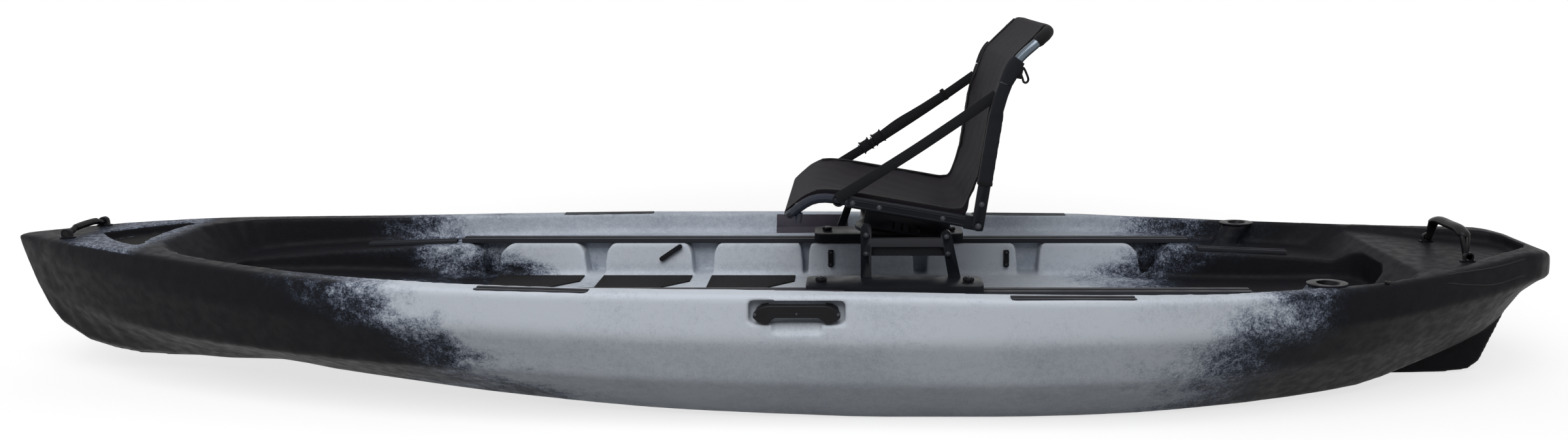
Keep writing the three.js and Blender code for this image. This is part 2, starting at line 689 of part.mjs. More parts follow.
// Frame of a rim track: along the middle of the rim, its top level with the rim
function rimTrackMatrix([, front, rear], side) {
  const ends = [front, rear].map((x) => new THREE.Vector3(
    x, side * (rimHalfAt(x) - rimWidth / 2), rimHeightAt(x) - ledgeTrackHeight));
  const [from, to] = ends;
  const along = to.clone().sub(from).normalize();
  const across = new THREE.Vector3(0, 0, 1).cross(along).normalize();
  const up = along.clone().cross(across);
  const matrix = new THREE.Matrix4().makeBasis(along, across, up);
  matrix.setPosition(from);
  return { matrix, length: from.distanceTo(to) };
}

function rimTrackTool(track, side) {
  const { matrix, length } = rimTrackMatrix(track, side);
  const half = rimTrackWidth / 2 + gap;
  return box(-gap, length + gap, -half, half, -gap, overrun).applyMatrix4(matrix);
}

function buildRimTracks() {
  rimTracks.forEach((track) => {
    [[-1, 'port'], [1, 'starboard']].forEach(([side, word]) => {
      const { matrix, length } = rimTrackMatrix(track, side);
      const section = trackBar(rimTrackWidth, ledgeTrackHeight, length);
      const bar = addPart(`${track[0]}_${word}`, section, colours.aluminium);
      matrix.decompose(bar.position, bar.quaternion, bar.scale);
    });
  });
}

// Carry handle let into each side of the hull, and its backing panel inside.
// Columns are shares of half the length and of the grip's width, below its top.
const gripOutlineShares = [
  [0.66, 0], [0.82, 0.14], [0.94, 0.4], [1, 0.62], [1, 0.88], [0.9, 1.16], [0.76, 1.32], [0.66, 1.3], [0.58, 1.06],
  [0.54, 1],
];
const gripFootShares = [
  [0.66, 0.12], [0.82, 0.2], [0.94, 0.44], [0.97, 0.7], [0.9, 1.06], [0.76, 1.2], [0.68, 1.16],
];

function sideGrip() {
  const wall = widthAt(handleMiddle, 8);
  const back = wall - pocketDepth + gap;
  const inner = wall - gripThickness;
  const half = handleLength / 2;
  const top = rimHeightAt(handleMiddle) - pocketTop - gripDrop;
  const place = (side) => ([out, down]) => [handleMiddle + side * out * half, top - down * gripWidth];
  const face = [...gripOutlineShares.map(place(1)), ...gripOutlineShares.map(place(-1)).reverse()];
  const feet = [-1, 1].map((side) => sidePlate(gripFootShares.map(place(side)), back, inner + sheet));
  return join([sidePlate(face, inner, wall), ...feet]);
}

function backingPanel() {
  const half = handleLength * 0.54;
  const rings = [-1, -0.5, 0, 0.5, 1].map((share) => {
    const x = handleMiddle + share * half;
    const rim = rimHeightAt(x);
    const faceAt = (z) => wellHalfAt(x) - (wellDraft * (rim - z)) / (rim - ledgeHeight);
    const low = ledgeHeight + gap * 2;
    const knee = ledgeHeight + cornerReach * 1.2;
    const high = rim - gap;
    const toe = cornerReach * 1.2;
    return [
      [low, toe], [knee, gap * 2], [high, gap * 2], [high, sheet], [knee, sheet], [low, toe + sheet],
    ].map(([z, inset]) => new THREE.Vector3(x, faceAt(z) - inset, z));
  });
  return loft(rings);
}

function buildSideHandles() {
  [[-1, 'port'], [1, 'starboard']].forEach(([side, word]) => {
    const grip = merged(sideGrip()).scale(1, side, 1);
    addPart(`side_handle_${word}`, merged(grip), colours.plastic);
    const panel = merged(backingPanel()).scale(1, side, 1);
    addPart(`handle_backing_${word}`, merged(panel), colours.plastic);
  });
}

// Traction pads on the floor between the grooves, notched at the rear
const padInset = 34;
const padHalfWidth = troughHalfWidth - padInset;
const padMargin = 26;
const notchWidth = 150;
const notchDepth = 68;

function buildFloorPads() {
  ['fore', 'middle', 'rear'].forEach((word, i) => {
    const x0 = grooveShares[i][0] * halfLength + padMargin;
    const x1 = grooveShares[i + 1][0] * halfLength - padMargin;
    const shape = outline([
      [x0, -padHalfWidth], [x1, -padHalfWidth], [x1, -notchWidth], [x1 - notchDepth, notchWidth * -0.6],
      [x1 - notchDepth, notchWidth * 0.6], [x1, notchWidth], [x1, padHalfWidth], [x0, padHalfWidth],
    ]);
    const pad = floorPlate(shape, floorHeight + gap, floorHeight + gap + padThickness);
    addPart(`floor_pad_${word}`, pad, colours.rubber);
  });
}

// Frame on the trough wall: X along the boat, Y out of the wall, Z up the wall
const wallLean = Math.atan2(floorInset, ledgeHeight + overrun - floorHeight);

function wallFrame(x, z) {
  const face = troughHalfWidth - floorInset + (z - floorHeight) * Math.tan(wallLean);
  const matrix = new THREE.Matrix4().makeTranslation(x, face - gap / Math.cos(wallLean), z);
  return matrix.multiply(new THREE.Matrix4().makeRotationX(-wallLean));
}

// Pad eyes of the liner, each an upright loop held by a screw at each end
const padEyePlaces = [109, 590];
const padEyeHeight = 46;
const padEyeWidth = 15;
const padEyeDepth = 12;
const padEyeCentre = 246;

function padEye(x) {
  const half = padEyeHeight / 2;
  const foot = half - padEyeWidth * 0.8;
  const thin = padEyeDepth * 0.4;
  const points = [
    [0, -half], [0, -foot], [-thin, -foot + thin], [-thin, foot - thin], [0, foot], [0, half],
    [-thin, half], [-padEyeDepth, foot], [-padEyeDepth, -foot], [-thin, -half],
  ];
  const loop = new THREE.ExtrudeGeometry(outline(points), { depth: padEyeWidth, bevelEnabled: false });
  loop.rotateX(Math.PI / 2).rotateZ(Math.PI / 2).translate(-padEyeWidth / 2, 0, 0);
  return merged(loop).applyMatrix4(wallFrame(x, padEyeCentre));
}

function buildPadEyes() {
  padEyePlaces.forEach((x, i) => {
    const place = ['fore', 'aft'][i];
    addPart(`pad_eye_starboard_${place}`, merged(padEye(x)), colours.plastic);
    addPart(`pad_eye_port_${place}`, merged(padEye(x).scale(1, -1, 1)), colours.plastic);
  });
}

// Slanting paddle clip on the starboard wall
const clipPlace = -330;
const clipHeight = 262;
const clipLength = 72;
const clipWidth = 13;
const clipSlant = 34;

function buildPaddleClip() {
  const half = clipLength / 2;
  const plate = roundedOutline(-half, half, -clipWidth / 2, clipWidth / 2, clipWidth / 2.1);
  const clip = sidePlate(plate, -padEyeDepth, 0).rotateY(-THREE.MathUtils.degToRad(clipSlant));
  addPart('paddle_clip', clip.applyMatrix4(wallFrame(clipPlace, clipHeight)), colours.plastic);
}

// Oval flange on the rim and a blind tube down into the boss
function buildRodHolders() {
  [[-1, 'port'], [1, 'starboard']].forEach(([side, word]) => {
    const y = side * (wellHalfAt(rodPlace) - rodInset);
    const reach = rodFlange * flangeStretch;
    const rise = rimHeightAt(rodPlace + reach) - rimHeightAt(rodPlace - reach);
    const top = (rimHeightAt(rodPlace + reach) + rimHeightAt(rodPlace - reach)) / 2 + gap * 2;
    const flange = post(rodFlange, 0, 0, 0, flangeThickness, 24).scale(flangeStretch, 1, 1);
    flange.rotateY(-Math.atan2(rise, reach * 2)).translate(rodPlace, y, top);
    const lid = box(rodPlace - overrun, rodPlace + overrun, y - overrun, y + overrun,
      top + flangeThickness / 2, top + overrun * 2);
    const pipe = cut(rodCylinder(rodTubeRadius, -rodDepth, overrun, side), [lid]);
    const bore = rodCylinder(rodTubeRadius - rodTubeWall, -rodDepth + rodTubeWall, overrun, side);
    addPart(`rod_holder_${word}`, cut(join([flange, pipe]), [bore]), colours.plastic);
  });
}

function buildBowMat() {
  const floor = rimHeightAt(recessRear) - recessDepth + gap;
  const mat = floorPlate(bowRecessShape(padThickness / 2), floor, floor + padThickness);
  addPart('bow_recess_mat', mat, colours.rubber);
}

const plugSpacing = 135;
const plugPlace = rodPlace + plugSpacing;
const plugRadius = 7;

function buildDrainPlug() {
  const y = -(rimHalfAt(plugPlace) + wellHalfAt(plugPlace)) / 2;
  const z = rimHeightAt(plugPlace + plugRadius) + gap;
  addPart('drain_plug', post(plugRadius, plugPlace, y, z, z + padThickness, 18), colours.rubber);
}

// Seat base

const legHalf = legInner + legThickness;

// Clamping slider: a block in the track slot and a stud up to the beam
function trackSlider(x, y, beamFoot) {
  const low = ledgeHeight + gap + trackFloor + gap;
  const high = ledgeHeight + gap + trackHeight - trackLip - gap;
  const half = slotCavity / 2 - gap * 2;
  return [
    box(x - half * 1.5, x + half * 1.5, y - half, y + half, low, high),
    post(studRadius, x, y, (low + high) / 2, beamFoot + beamHeight / 2, 12),
  ];
}

function buildBeams(base) {
  [[-1, 'port'], [1, 'starboard']].forEach(([side, word]) => {
    const foot = ledgeHeight + gap + trackHeight + gap;
    const half = beamLength / 2;
    const y = side * mainTrackSpan;
    const plate = roundedOutline(-half, half, y - beamWidth / 2, y + beamWidth / 2, beamHeight);
    const sliders = [-1, 1].map((end) => trackSlider(end * knobSpan, y, foot)).flat();
    const beam = join([floorPlate(plate, foot, foot + beamHeight), ...sliders]);
    addPart(`slide_beam_${word}`, beam, colours.aluminium, base);
  });
}

const knobSpan = 170;
const studRadius = 3;
const knobRadius = 14;
const knobHeight = 10;

// Front leg, sloping rear leg and the bar that joins them, cut from one plate
function legOutline() {
  const foot = ledgeHeight + trackHeight + beamHeight + gap * 3;
  const radius = frontLegWidth / 2;
  const frontInside = frontLegPlace + frontLegWidth;
  const lean = (rearLegFoot - rearLegTop) * 0.3;
  const shape = new THREE.Shape();
  shape.moveTo(frontLegPlace, foot);
  shape.lineTo(frontInside, foot);
  shape.lineTo(frontInside, legBarLow);
  shape.lineTo(rearLegTop + lean, legBarLow);
  shape.lineTo(rearLegFoot, foot);
  shape.lineTo(rearLegFoot + frontLegWidth * 1.15, foot);
  shape.lineTo(rearLegTop + frontLegWidth, rearLegPeak - radius);
  shape.absarc(rearLegTop + radius, rearLegPeak - radius, radius, 0, Math.PI);
  shape.lineTo(rearLegTop, legBarHigh);
  shape.lineTo(frontInside, legBarHigh);
  shape.lineTo(frontInside, frontLegTop - radius);
  shape.absarc(frontLegPlace + radius, frontLegTop - radius, radius, 0, Math.PI);
  return shape;
}

const boltHead = 7;
const boltGrip = 5;

function legBolts(side) {
  const frontBolt = frontLegPlace + frontLegWidth / 2;
  const rearBolt = rearLegTop + frontLegWidth / 2;
  const low = basePlateTop - plateFold / 2;
  const places = [
    [frontBolt, frontLegTop - frontLegWidth], [rearBolt, rearLegPeak - frontLegWidth / 2],
    [frontBolt, low], [rearBolt + gripThickness / 4, low],
  ];
  const y = [side * (legHalf - boltGrip), side * (legHalf + boltGrip)].sort((a, b) => a - b);
  return places.map(([x, z]) => pin(boltHead, x, y[0], y[1], z, 12));
}

function buildLegs(base) {
  [[-1, 'port'], [1, 'starboard']].forEach(([side, word]) => {
    const y = [side * legInner, side * legHalf].sort((a, b) => a - b);
    const frame = join([sidePlate(legOutline(), y[0], y[1]), ...legBolts(side)]);
    addPart(`leg_frame_${word}`, frame, colours.aluminium, base);
  });
}

const swivelLift = basePlateTop + gap;

function buildSwivelBase(base) {
  const half = legInner - gap;
  const [front, rear] = [frontLegPlace + gap, rearLegFoot + gap];
  const fold = basePlateTop - plateFold;
  const plate = box(front, rear, -half, half, basePlateTop - sheet, basePlateTop);
  const folds = [-1, 1].map((side) => {
    const y = [side * half, side * (half - sheet)].sort((a, b) => a - b);
    return box(front, rear, y[0], y[1], fold, basePlateTop - sheet / 2);
  });
  addPart('base_plate', join([plate, ...folds]), colours.aluminium, base);
  const profile = [
    [hubRadius / 2, swivelLift], [swivelRadius, swivelLift], [swivelRadius, swivelLift + ringThickness],
    [hubRadius / 2, swivelLift + ringThickness], [hubRadius / 2, swivelLift],
  ].map(([x, y]) => new THREE.Vector2(x, y));
  addPart('swivel_ring_lower', new THREE.LatheGeometry(profile, 36).rotateX(Math.PI / 2), colours.steel, base);
}

function knobShape() {
  const shape = new THREE.Shape();
  const points = 40;
  const lobes = 5;
  for (let i = 0; i < points; i += 1) {
    const angle = (i / points) * Math.PI * 2;
    const r = knobRadius * (0.88 + 0.12 * Math.cos(angle * lobes));
    if (i === 0) shape.moveTo(r * Math.cos(angle), r * Math.sin(angle));
    else shape.lineTo(r * Math.cos(angle), r * Math.sin(angle));
  }
  return shape;
}

function buildKnobs(base) {
  const z = ledgeHeight + trackHeight + beamHeight + gap * 3;
  [[-1, 'port'], [1, 'starboard']].forEach(([side, word]) => {
    [[-1, 'fore'], [1, 'aft']].forEach(([end, place]) => {
      const grip = floorPlate(knobShape(), 0, knobHeight);
      const knob = addPart(`clamp_knob_${word}_${place}`, grip, colours.plastic, base);
      knob.position.set(end * knobSpan, side * mainTrackSpan, z);
    });
  });
}

// Turning seat. The pan group leans back, with its X along the rails and its
// origin on the swivel axis at the middle of the rails.

function panMatrix() {
  const matrix = new THREE.Matrix4().makeTranslation(0, 0, panHeight);
  return matrix.multiply(new THREE.Matrix4().makeRotationY(THREE.MathUtils.degToRad(seatTilt)));
}

function buildSwivelHub(seat) {
  const z0 = swivelLift + ringThickness + gap;
  const profile = [
    [0, z0], [swivelRadius, z0], [swivelRadius, z0 + ringThickness],
    [hubRadius, z0 + ringThickness], [hubRadius, panHeight], [0, panHeight],
  ].map(([x, y]) => new THREE.Vector2(x, y));
  const hub = new THREE.LatheGeometry(profile, 36).rotateX(Math.PI / 2);
  const wide = overrun * 4;
  const above = box(-wide, wide, -wide, wide, bracketTop - sheet - gap, overrun * 3);
  addPart('swivel_hub', cut(hub, [above.applyMatrix4(panMatrix())]), colours.aluminium, seat);
}

const tiltSlots = 4;
const tiltSlotPitch = 20;
const tiltSlotWidth = 6;
const tiltSlotHeight = 18;

// Folded bracket under the pan, a top plate with a slotted flange down each side
function buildTiltBracket(pan) {
  const w = bracketTop;
  const half = bracketHalfWidth;
  const top = box(bracketFront, bracketRear, -half, half, w - sheet, w);
  const flanges = [-1, 1].map((side) => {
    const y = [side * half, side * (half - sheet)].sort((a, b) => a - b);
    return box(bracketFront, bracketRear, y[0], y[1], w - bracketDepth, w - sheet / 2);
  });
  const slots = Array.from({ length: tiltSlots }, (_, i) => {
    const x = bracketFront + (bracketRear - bracketFront) * 0.34 + i * tiltSlotPitch;
    const z = w - bracketDepth * 0.62;
    const reach = half + overrun;
    return box(x, x + tiltSlotWidth, -reach, reach, z - tiltSlotHeight / 2, z + tiltSlotHeight / 2);
  });
  addPart('tilt_bracket', cut(join([top, ...flanges, ...leverEars()]), slots), colours.aluminium, pan);
}

const uprightSpan = railSpan + railWidth / 2 + gap * 2 + uprightThickness / 2;

// Stud through the upright, with a head outside it and another inside the rail
function hingeStud(side) {
  const inner = railSpan - railWidth / 2;
  const outer = uprightSpan + uprightThickness / 2 + gap;
  const spans = [[hingePin, railSpan, outer + boltGrip / 2], [boltHead, inner - boltGrip, railSpan],
    [boltHead, outer, outer + boltGrip]];
  return spans.map(([radius, a, b]) => {
    const y = [side * a, side * b].sort((c, d) => c - d);
    return pin(radius, hingeAlong, y[0], y[1], 0, 18);
  });
}

// Rectangular side rail whose end block carries the hinge stud of the back
function buildRails(pan) {
  [[-1, 'port'], [1, 'starboard']].forEach(([side, word]) => {
    const shape = roundedOutline(-railWidth / 2, railWidth / 2, -railHeight / 2, railHeight / 2, railWidth / 6);
    const options = { depth: railRear - railFront, bevelEnabled: false, curveSegments: 3 };
    const bar = new THREE.ExtrudeGeometry(shape, options).rotateX(Math.PI / 2).rotateZ(Math.PI / 2);
    bar.translate(railFront, side * railSpan, 0);
    const half = hingeBlockHeight / 2;
    const block = roundedOutline(railRear - half / 2, hingeAlong + half, -half, half, half / 3);
    const y = [side * railSpan - railWidth / 2, side * railSpan + railWidth / 2];
    const pieces = [bar, sidePlate(block, y[0], y[1]), ...hingeStud(side)];
    addPart(`seat_rail_${word}`, join(pieces), colours.aluminium, pan);
  });
}

const railInner = railSpan - railWidth / 2 - gap;

// Hat-shaped cross bars between the rails, standing on the tilt bracket
function crossBar(x, width) {
  const low = bracketTop + gap;
  const half = railInner;
  const foot = bracketHalfWidth * 0.8;
  const tread = bracketHalfWidth * 0.2;
  const bar = -railHeight / 2;
  const top = bar + railHeight * 0.38;
  const shape = outline([
    [-half, bar], [-foot, bar], [-foot, low], [tread - foot, low], [tread - foot, bar], [foot - tread, bar],
    [foot - tread, low], [foot, low], [foot, bar], [half, bar], [half, top], [-half, top],
  ]);
  const body = new THREE.ExtrudeGeometry(shape, { depth: width, bevelEnabled: false });
  return body.rotateX(Math.PI / 2).rotateZ(Math.PI / 2).translate(x, 0, 0);
}

const crossBarWidth = 28;

function buildCrossBars(pan) {
  const frontBar = crossBar(bracketFront + crossBarWidth / 4, crossBarWidth);
  const rearBar = crossBar(bracketRear - crossBarWidth * 1.25, crossBarWidth);
  addPart('cross_bar_front', frontBar, colours.aluminium, pan);
  addPart('cross_bar_rear', rearBar, colours.aluminium, pan);
}

// Front of the seat frame: one tube bent down at both sides and across the front.
// Columns are shares: along the front overhang, out to the rail span, down the drop.
const frontReach = 126;
const frontDrop = 58;
const plugLength = 12;
const frontTubeShares = [
  [0, 1, 0], [0.24, 1, 0], [0.44, 1, 0.04], [0.62, 1, 0.17], [0.8, 1, 0.47], [0.93, 0.985, 0.8],
  [1, 0.9, 1], [1, 0.7, 1], [1, 0.3, 1],
];

function frontTubePoint([along, out, down], side, inset = 0) {
  return [railFront - gap - along * frontReach, side * out * railSpan, -down * frontDrop + inset];
}

function buildFrontFrame(pan) {
  const starboard = frontTubeShares.map((row) => frontTubePoint(row, 1));
  const port = frontTubeShares.map((row) => frontTubePoint(row, -1)).reverse();
  const bent = tube([...starboard, ...port], frameTube, 10, 44);
  const stubs = [-1, 1].map((side) => {
    const [x, y, z] = frontTubePoint(frontTubeShares[5], side);
    return post(frameTube * 0.7, x + frameTube * 1.2, y, z - frameTube - plugLength, z, 12);
  });
  addPart('seat_front_frame', join([bent, ...stubs]), colours.aluminium, pan);
}

// Sheet of fabric as a closed solid. Each row of the line has its place, the
// direction that faces the sitter and its share of the sag.
function clothSolid(line, halfWidth, sag, thickness) {
  const columns = 8;
  const rings = Array.from({ length: columns + 1 }, (_, j) => {
    const across = (j / columns) * 2 - 1;
    const drop = sag * (1 - across * across);
    const layer = (depth) => line.map(([x, z, nx, nz, share]) => new THREE.Vector3(
      x - nx * (drop * share + depth), across * halfWidth, z - nz * (drop * share + depth)));
    return [...layer(0), ...layer(thickness).reverse()];
  });
  return loft(rings, true);
}

const slingMargin = gap * 2;
const slingEdge = 19;
const frontTurns = [190, 160, 130];
const frontSagShares = [0.2, 0.45, 0.7, 0.9];
const flatSlingShares = [0, 0.35, 0.68, 0.86];

// Cloth line of the pan in its leaning frame: round the front tube, then back
function slingLine() {
  const skin = frameTube + slingThickness + slingMargin * 1.6;
  const [tubeX, , tubeZ] = frontTubePoint(frontTubeShares[6], 1);
  const wrap = frontTurns.map((turn) => {
    const angle = THREE.MathUtils.degToRad(turn);
    const [nx, nz] = [Math.cos(angle), Math.sin(angle)];
    return [tubeX + nx * skin, tubeZ + nz * skin, nx, nz, 0];
  });
  const slope = frontTubeShares.slice(1, 5).reverse().map((row, i) => {
    const [x, , z] = frontTubePoint(row, 1);
    const normal = new THREE.Vector2(-row[2] * 1.15, 1.1 - row[2] * 1.15).normalize();
    return [x + normal.x * skin, z + normal.y * skin, normal.x, normal.y, frontSagShares[i]];
  });
  const flat = flatSlingShares.map((share) => [railFront + (railRear - railFront) * share, slingEdge, 0, 1, 1]);
  return [...wrap, ...slope, ...flat];
}

function buildPanSling(pan) {
  const cloth = clothSolid(slingLine(), railInner - slingMargin, slingSag, slingThickness);
  addPart('seat_sling', merged(cloth), colours.fabric, pan);
}

// Lever under the front of the pan that frees the swivel
const leverWidth = 22;
const leverThickness = 8;
const leverPin = 2.5;
const leverPivotAlong = -66;
const leverPivotUp = -42;

function buildLever(lever) {
  const w = leverWidth;
  const shape = outline([
    [w * -0.25, w * 0.46], [w * -1.5, w * 0.36], [w * -1.95, w * -0.2], [w * -2.95, w * -2.85],
    [w * -2, w * -2.85], [w * -1.2, w * -0.5], [w * 0.25, w * -0.4], [w * 0.25, w * 0.2],
  ]);
  const plate = sidePlate(shape, -leverThickness / 2, leverThickness / 2);
  const bore = pin(leverPin + gap, 0, -overrun, overrun, 0, 16);
  addPart('swivel_lever', cut(plate, [bore]), colours.aluminium, lever);
}

// Ears at the front of the tilt bracket, with the lever's pin between them
function leverEars() {
  const inner = leverThickness / 2 + gap;
  const reach = leverPin * 2.6;
  const ears = [-1, 1].map((side) => {
    const y = [side * inner, side * (inner + sheet)].sort((a, b) => a - b);
    return box(leverPivotAlong - reach, leverPivotAlong + reach * 1.2, y[0], y[1], leverPivotUp - reach,
      bracketTop - sheet / 2);
  });
  const outer = inner + sheet;
  return [...ears, pin(leverPin, leverPivotAlong, -outer, outer, leverPivotUp, 16)];
}

// Folding back

// Line of the frame from the hinge to the head, as shares of the back's height:
// aft of the hinge, then above it.
const backHeight = 438;
const uprightTopShare = [0.084, 0.6];
const backLineShares = [
  [0, 0], [0.022, 0.16], [0.043, 0.308], [0.0645, 0.46], uprightTopShare, [0.124, 0.74], [0.184, 0.86],
  [0.318, 0.985],
];

function backPoint(share) {
  return [share[0] * backHeight, share[1] * backHeight];
}

function uprightLine() {
  const to = backPoint(uprightTopShare);
  const along = new THREE.Vector2(to[0], to[1]);
  return { length: along.length(), lean: Math.atan2(along.x, along.y), along: along.normalize() };
}

function buildUprights(back) {
  const { length, lean } = uprightLine();
  [[-1, 'port'], [1, 'starboard']].forEach(([side, word]) => {
    const bar = new THREE.Shape();
    const half = uprightWidth / 2;
    bar.moveTo(half, 0);
    bar.lineTo(half, length);
    bar.lineTo(-half, length);
    bar.lineTo(-half, 0);
    bar.absarc(0, 0, half, Math.PI, Math.PI * 2);
    const y = [side * uprightSpan - uprightThickness / 2, side * uprightSpan + uprightThickness / 2];
    const body = sidePlate(bar, y[0], y[1]).rotateY(lean);
    const bore = pin(hingePin + gap, 0, y[0] - overrun, y[1] + overrun, 0, 18);
    addPart(`back_upright_${word}`, cut(body, [bore]), colours.aluminium, back);
  });
}

// Bright head of the back: one bent tube from upright to upright
const headShares = [
  [0.124, 0.74, 1], [0.184, 0.855, 1], [0.278, 0.945, 1], [0.33, 0.987, 0.93], [0.343, 0.998, 0.78],
  [0.343, 0.998, 0.3],
];

function headPoints() {
  const { length, along } = uprightLine();
  const start = [length + gap * 5, length + frameTube * 3].map((reach) => (
    [along.x * reach, uprightSpan, along.y * reach]));
  const rest = headShares.map(([aft, up, out]) => [aft * backHeight, out * uprightSpan, up * backHeight]);
  const half = [...start, ...rest];
  return [...half, ...half.map(([x, y, z]) => [x, -y, z]).reverse()];
}

const backSag = 18;

// Cloth line of the back, standing a little before the frame's middle
function backClothLine() {
  const rows = backLineShares.slice(1);
  return rows.map((row, i) => {
    const before = rows[Math.max(0, i - 1)];
    const after = rows[Math.min(rows.length - 1, i + 1)];
    const normal = new THREE.Vector2(before[1] - after[1], after[0] - before[0]).normalize();
    const [x, z] = backPoint(row);
    const lead = uprightWidth / 2;
    return [x + normal.x * lead, z + normal.y * lead, normal.x, normal.y, 1];
  });
}

const backClothHalf = uprightSpan - Math.max(frameTube, uprightThickness / 2) - gap * 4;

function buildBackSling(back) {
  const cloth = clothSolid(backClothLine().slice(0, -1), backClothHalf, backSag, slingThickness);
  addPart('back_sling', merged(cloth), colours.fabric, back);
}

// Lower part of the cloth, which bends between the pan and the back. Columns are
// shares: along, up and turn from the pan's direction to the back's.
const bendShares = [[0, 0, 0], [0.3, 0.12, 0.25], [0.52, 0.42, 0.55], [0.74, 0.74, 0.8], [1, 1, 1]];

function buildSlingBend(back) {
  const [panX, panZ] = panEnd();
  const top = backClothLine()[0];
  const from = Math.PI / 2 - THREE.MathUtils.degToRad(seatTilt);
  const to = Math.atan2(top[3], top[2]);
  const line = bendShares.map(([along, up, turn]) => {
    const angle = from + (to - from) * turn;
    const x = panX + (top[0] - panX) * along;
    return [x, panZ + (top[1] - gap - panZ) * up, Math.cos(angle), Math.sin(angle), 1];
  });
  const cloth = clothSolid(line, railInner - slingMargin, slingSag, slingThickness);
  addPart('sling_bend', merged(cloth), colours.fabric, back);
}

// Hinge of the back in the upright frame of the seat
function hingePoint() {
  return new THREE.Vector3(hingeAlong, 0, 0).applyMatrix4(panMatrix());
}

// Rear edge of the pan sling, seen from the hinge
function panEnd() {
  const [along, up] = slingLine()[slingLine().length - 1];
  const end = new THREE.Vector3(along + gap, 0, up).applyMatrix4(panMatrix()).sub(hingePoint());
  return [end.x, end.z];
}

// Straps from the front of the pan to the back, one at each side. Both ends are
// seen from the hinge of the back.
const strapSpan = railSpan + railWidth / 2 + gap + strapThickness / 2;
const strapFootReach = 20;
const strapFootRise = 60;
const strapFoot = [railFront - hingeAlong - strapFootReach, strapFootRise];
const strapHeadShare = [0.082, 0.68];
const strapHead = backPoint(strapHeadShare);
const buckleShares = [[0.17, 0.228], [0.24, 0.318], [0.765, 0.79]];
const buckleThickness = 5;

// A plate along the strap from one share of its length to another
function strapPlate(from, to, width, y0, y1) {
  const foot = new THREE.Vector2(...strapFoot);
  const along = new THREE.Vector2(...strapHead).sub(foot);
  const length = along.length();
  const half = width / 2;
  const [a, b] = [from * length, to * length];
  const plate = sidePlate([[a, -half], [b, -half], [b, half], [a, half]], y0, y1);
  return plate.rotateY(-Math.atan2(along.y, along.x)).translate(foot.x, 0, foot.y);
}

function buildStraps(back) {
  const clear = tube(headPoints(), frameTube + slingMargin, 10, 44);
  const inner = strapSpan - strapThickness / 2;
  const port = cut(strapPlate(0, 1, strapWidth, -inner - strapThickness, -inner), [clear]);
  addPart('side_strap_port', port, colours.webbing, back);
  const plain = strapPlate(0, 1, strapWidth, inner, inner + strapThickness);
  const buckles = buckleShares.map(([from, to]) => strapPlate(from, to, strapWidth * 1.4,
    inner + strapThickness / 2, inner + buckleThickness));
  addPart('side_strap_starboard', cut(join([plain, ...buckles]), [clear]), colours.webbing, back);
}

// Sleeve round each side of the head, with a thin loop behind it
const sleeveShares = [[0.1235, 0.738], [0.148, 0.79], [0.1765, 0.845]];
const sleeveWall = 3;
const loopWire = 2.5;
const loopReach = 30;
const loopHeight = 34;

function sleeveAndLoop(side) {
  const y = side * uprightSpan;
  const path = sleeveShares.map(backPoint);
  const sleeve = tube(path.map(([x, z]) => [x, y, z]), frameTube + sleeveWall, 12, 5);
  const [x, z] = path[1];
  const half = loopHeight / 2;
  const wire = [
    [x, z + half * 0.9], [x + loopReach, z + half * 0.5], [x + loopReach * 1.15, z - half * 0.5],
    [x + loopReach * 0.8, z - half * 0.95], [x, z - half * 0.5],
  ];
  return [sleeve, tube(wire.map(([a, b]) => [a, y, b]), loopWire, 6, 12)];
}

function buildHead(back) {
  const frame = tube(headPoints(), frameTube, 10, 44);
  const head = join([frame, ...sleeveAndLoop(-1), ...sleeveAndLoop(1)]);
  addPart('back_head_frame', head, colours.steel, back);
}

// Handles of bow and stern. The ends of each grip lie along its own hinge axis,
// in a saddle foot on the deck.

const handleTube = 8;
const handleLift = 12;
const saddleWall = 3;
const saddleWidth = 12;
const saddleReach = 17;
const bowHandleSetback = 165;
const bowHandlePlace = bowHandleSetback - halfLength;
const bowHandleSpan = 70;
const bowHandleRise = 8;
const sternHandleSetback = 255;
const sternHandlePlace = halfLength - sternHandleSetback;
const sternHandleSpan = 104;
const sternHandleRise = 60;
const strandSpread = 6;

// Arched grip. Columns are shares of the span, the rise and the strand spread.
const bowGripShares = [[1.08, 0, 0], [0.95, 0, 0], [0.84, 0, 0], [0.7, 0.35, 0], [0.5, 0.85, 0], [0, 1, 0]];
const sternGripShares = [
  [1.055, 0, 0], [0.98, 0, 0], [0.93, 0, 0], [0.885, 0, 0], [0.85, 0.14, 0.2], [0.81, 0.45, 0.6],
  [0.7, 0.84, 1], [0.45, 0.99, 1], [0, 1, 1],
];

function gripTube(shares, span, rise, spread, steps) {
  const half = shares.map(([out, up, side]) => [side * spread, out * span, up * rise]);
  const other = half.slice(0, -1).map(([x, y, z]) => [x, -y, z]).reverse();
  return tube([...half, ...other], handleTube, 8, steps);
}

// Saddle foot with a bore for the end of the grip
function saddleFoot(span) {
  const shape = new THREE.Shape();
  const round = handleTube + gap + saddleWall;
  shape.moveTo(-saddleReach, 0);
  shape.lineTo(saddleReach, 0);
  shape.lineTo(saddleReach, saddleWall);
  shape.lineTo(round, saddleWall + gap);
  shape.lineTo(round, handleLift);
  shape.absarc(0, handleLift, round, 0, Math.PI);
  shape.lineTo(-round, saddleWall + gap);
  shape.lineTo(-saddleReach, saddleWall);
  const foot = sidePlate(shape, span - saddleWidth / 2, span + saddleWidth / 2);
  return cut(foot, [pin(handleTube + gap, 0, span - overrun, span + overrun, handleLift, 18)]);
}

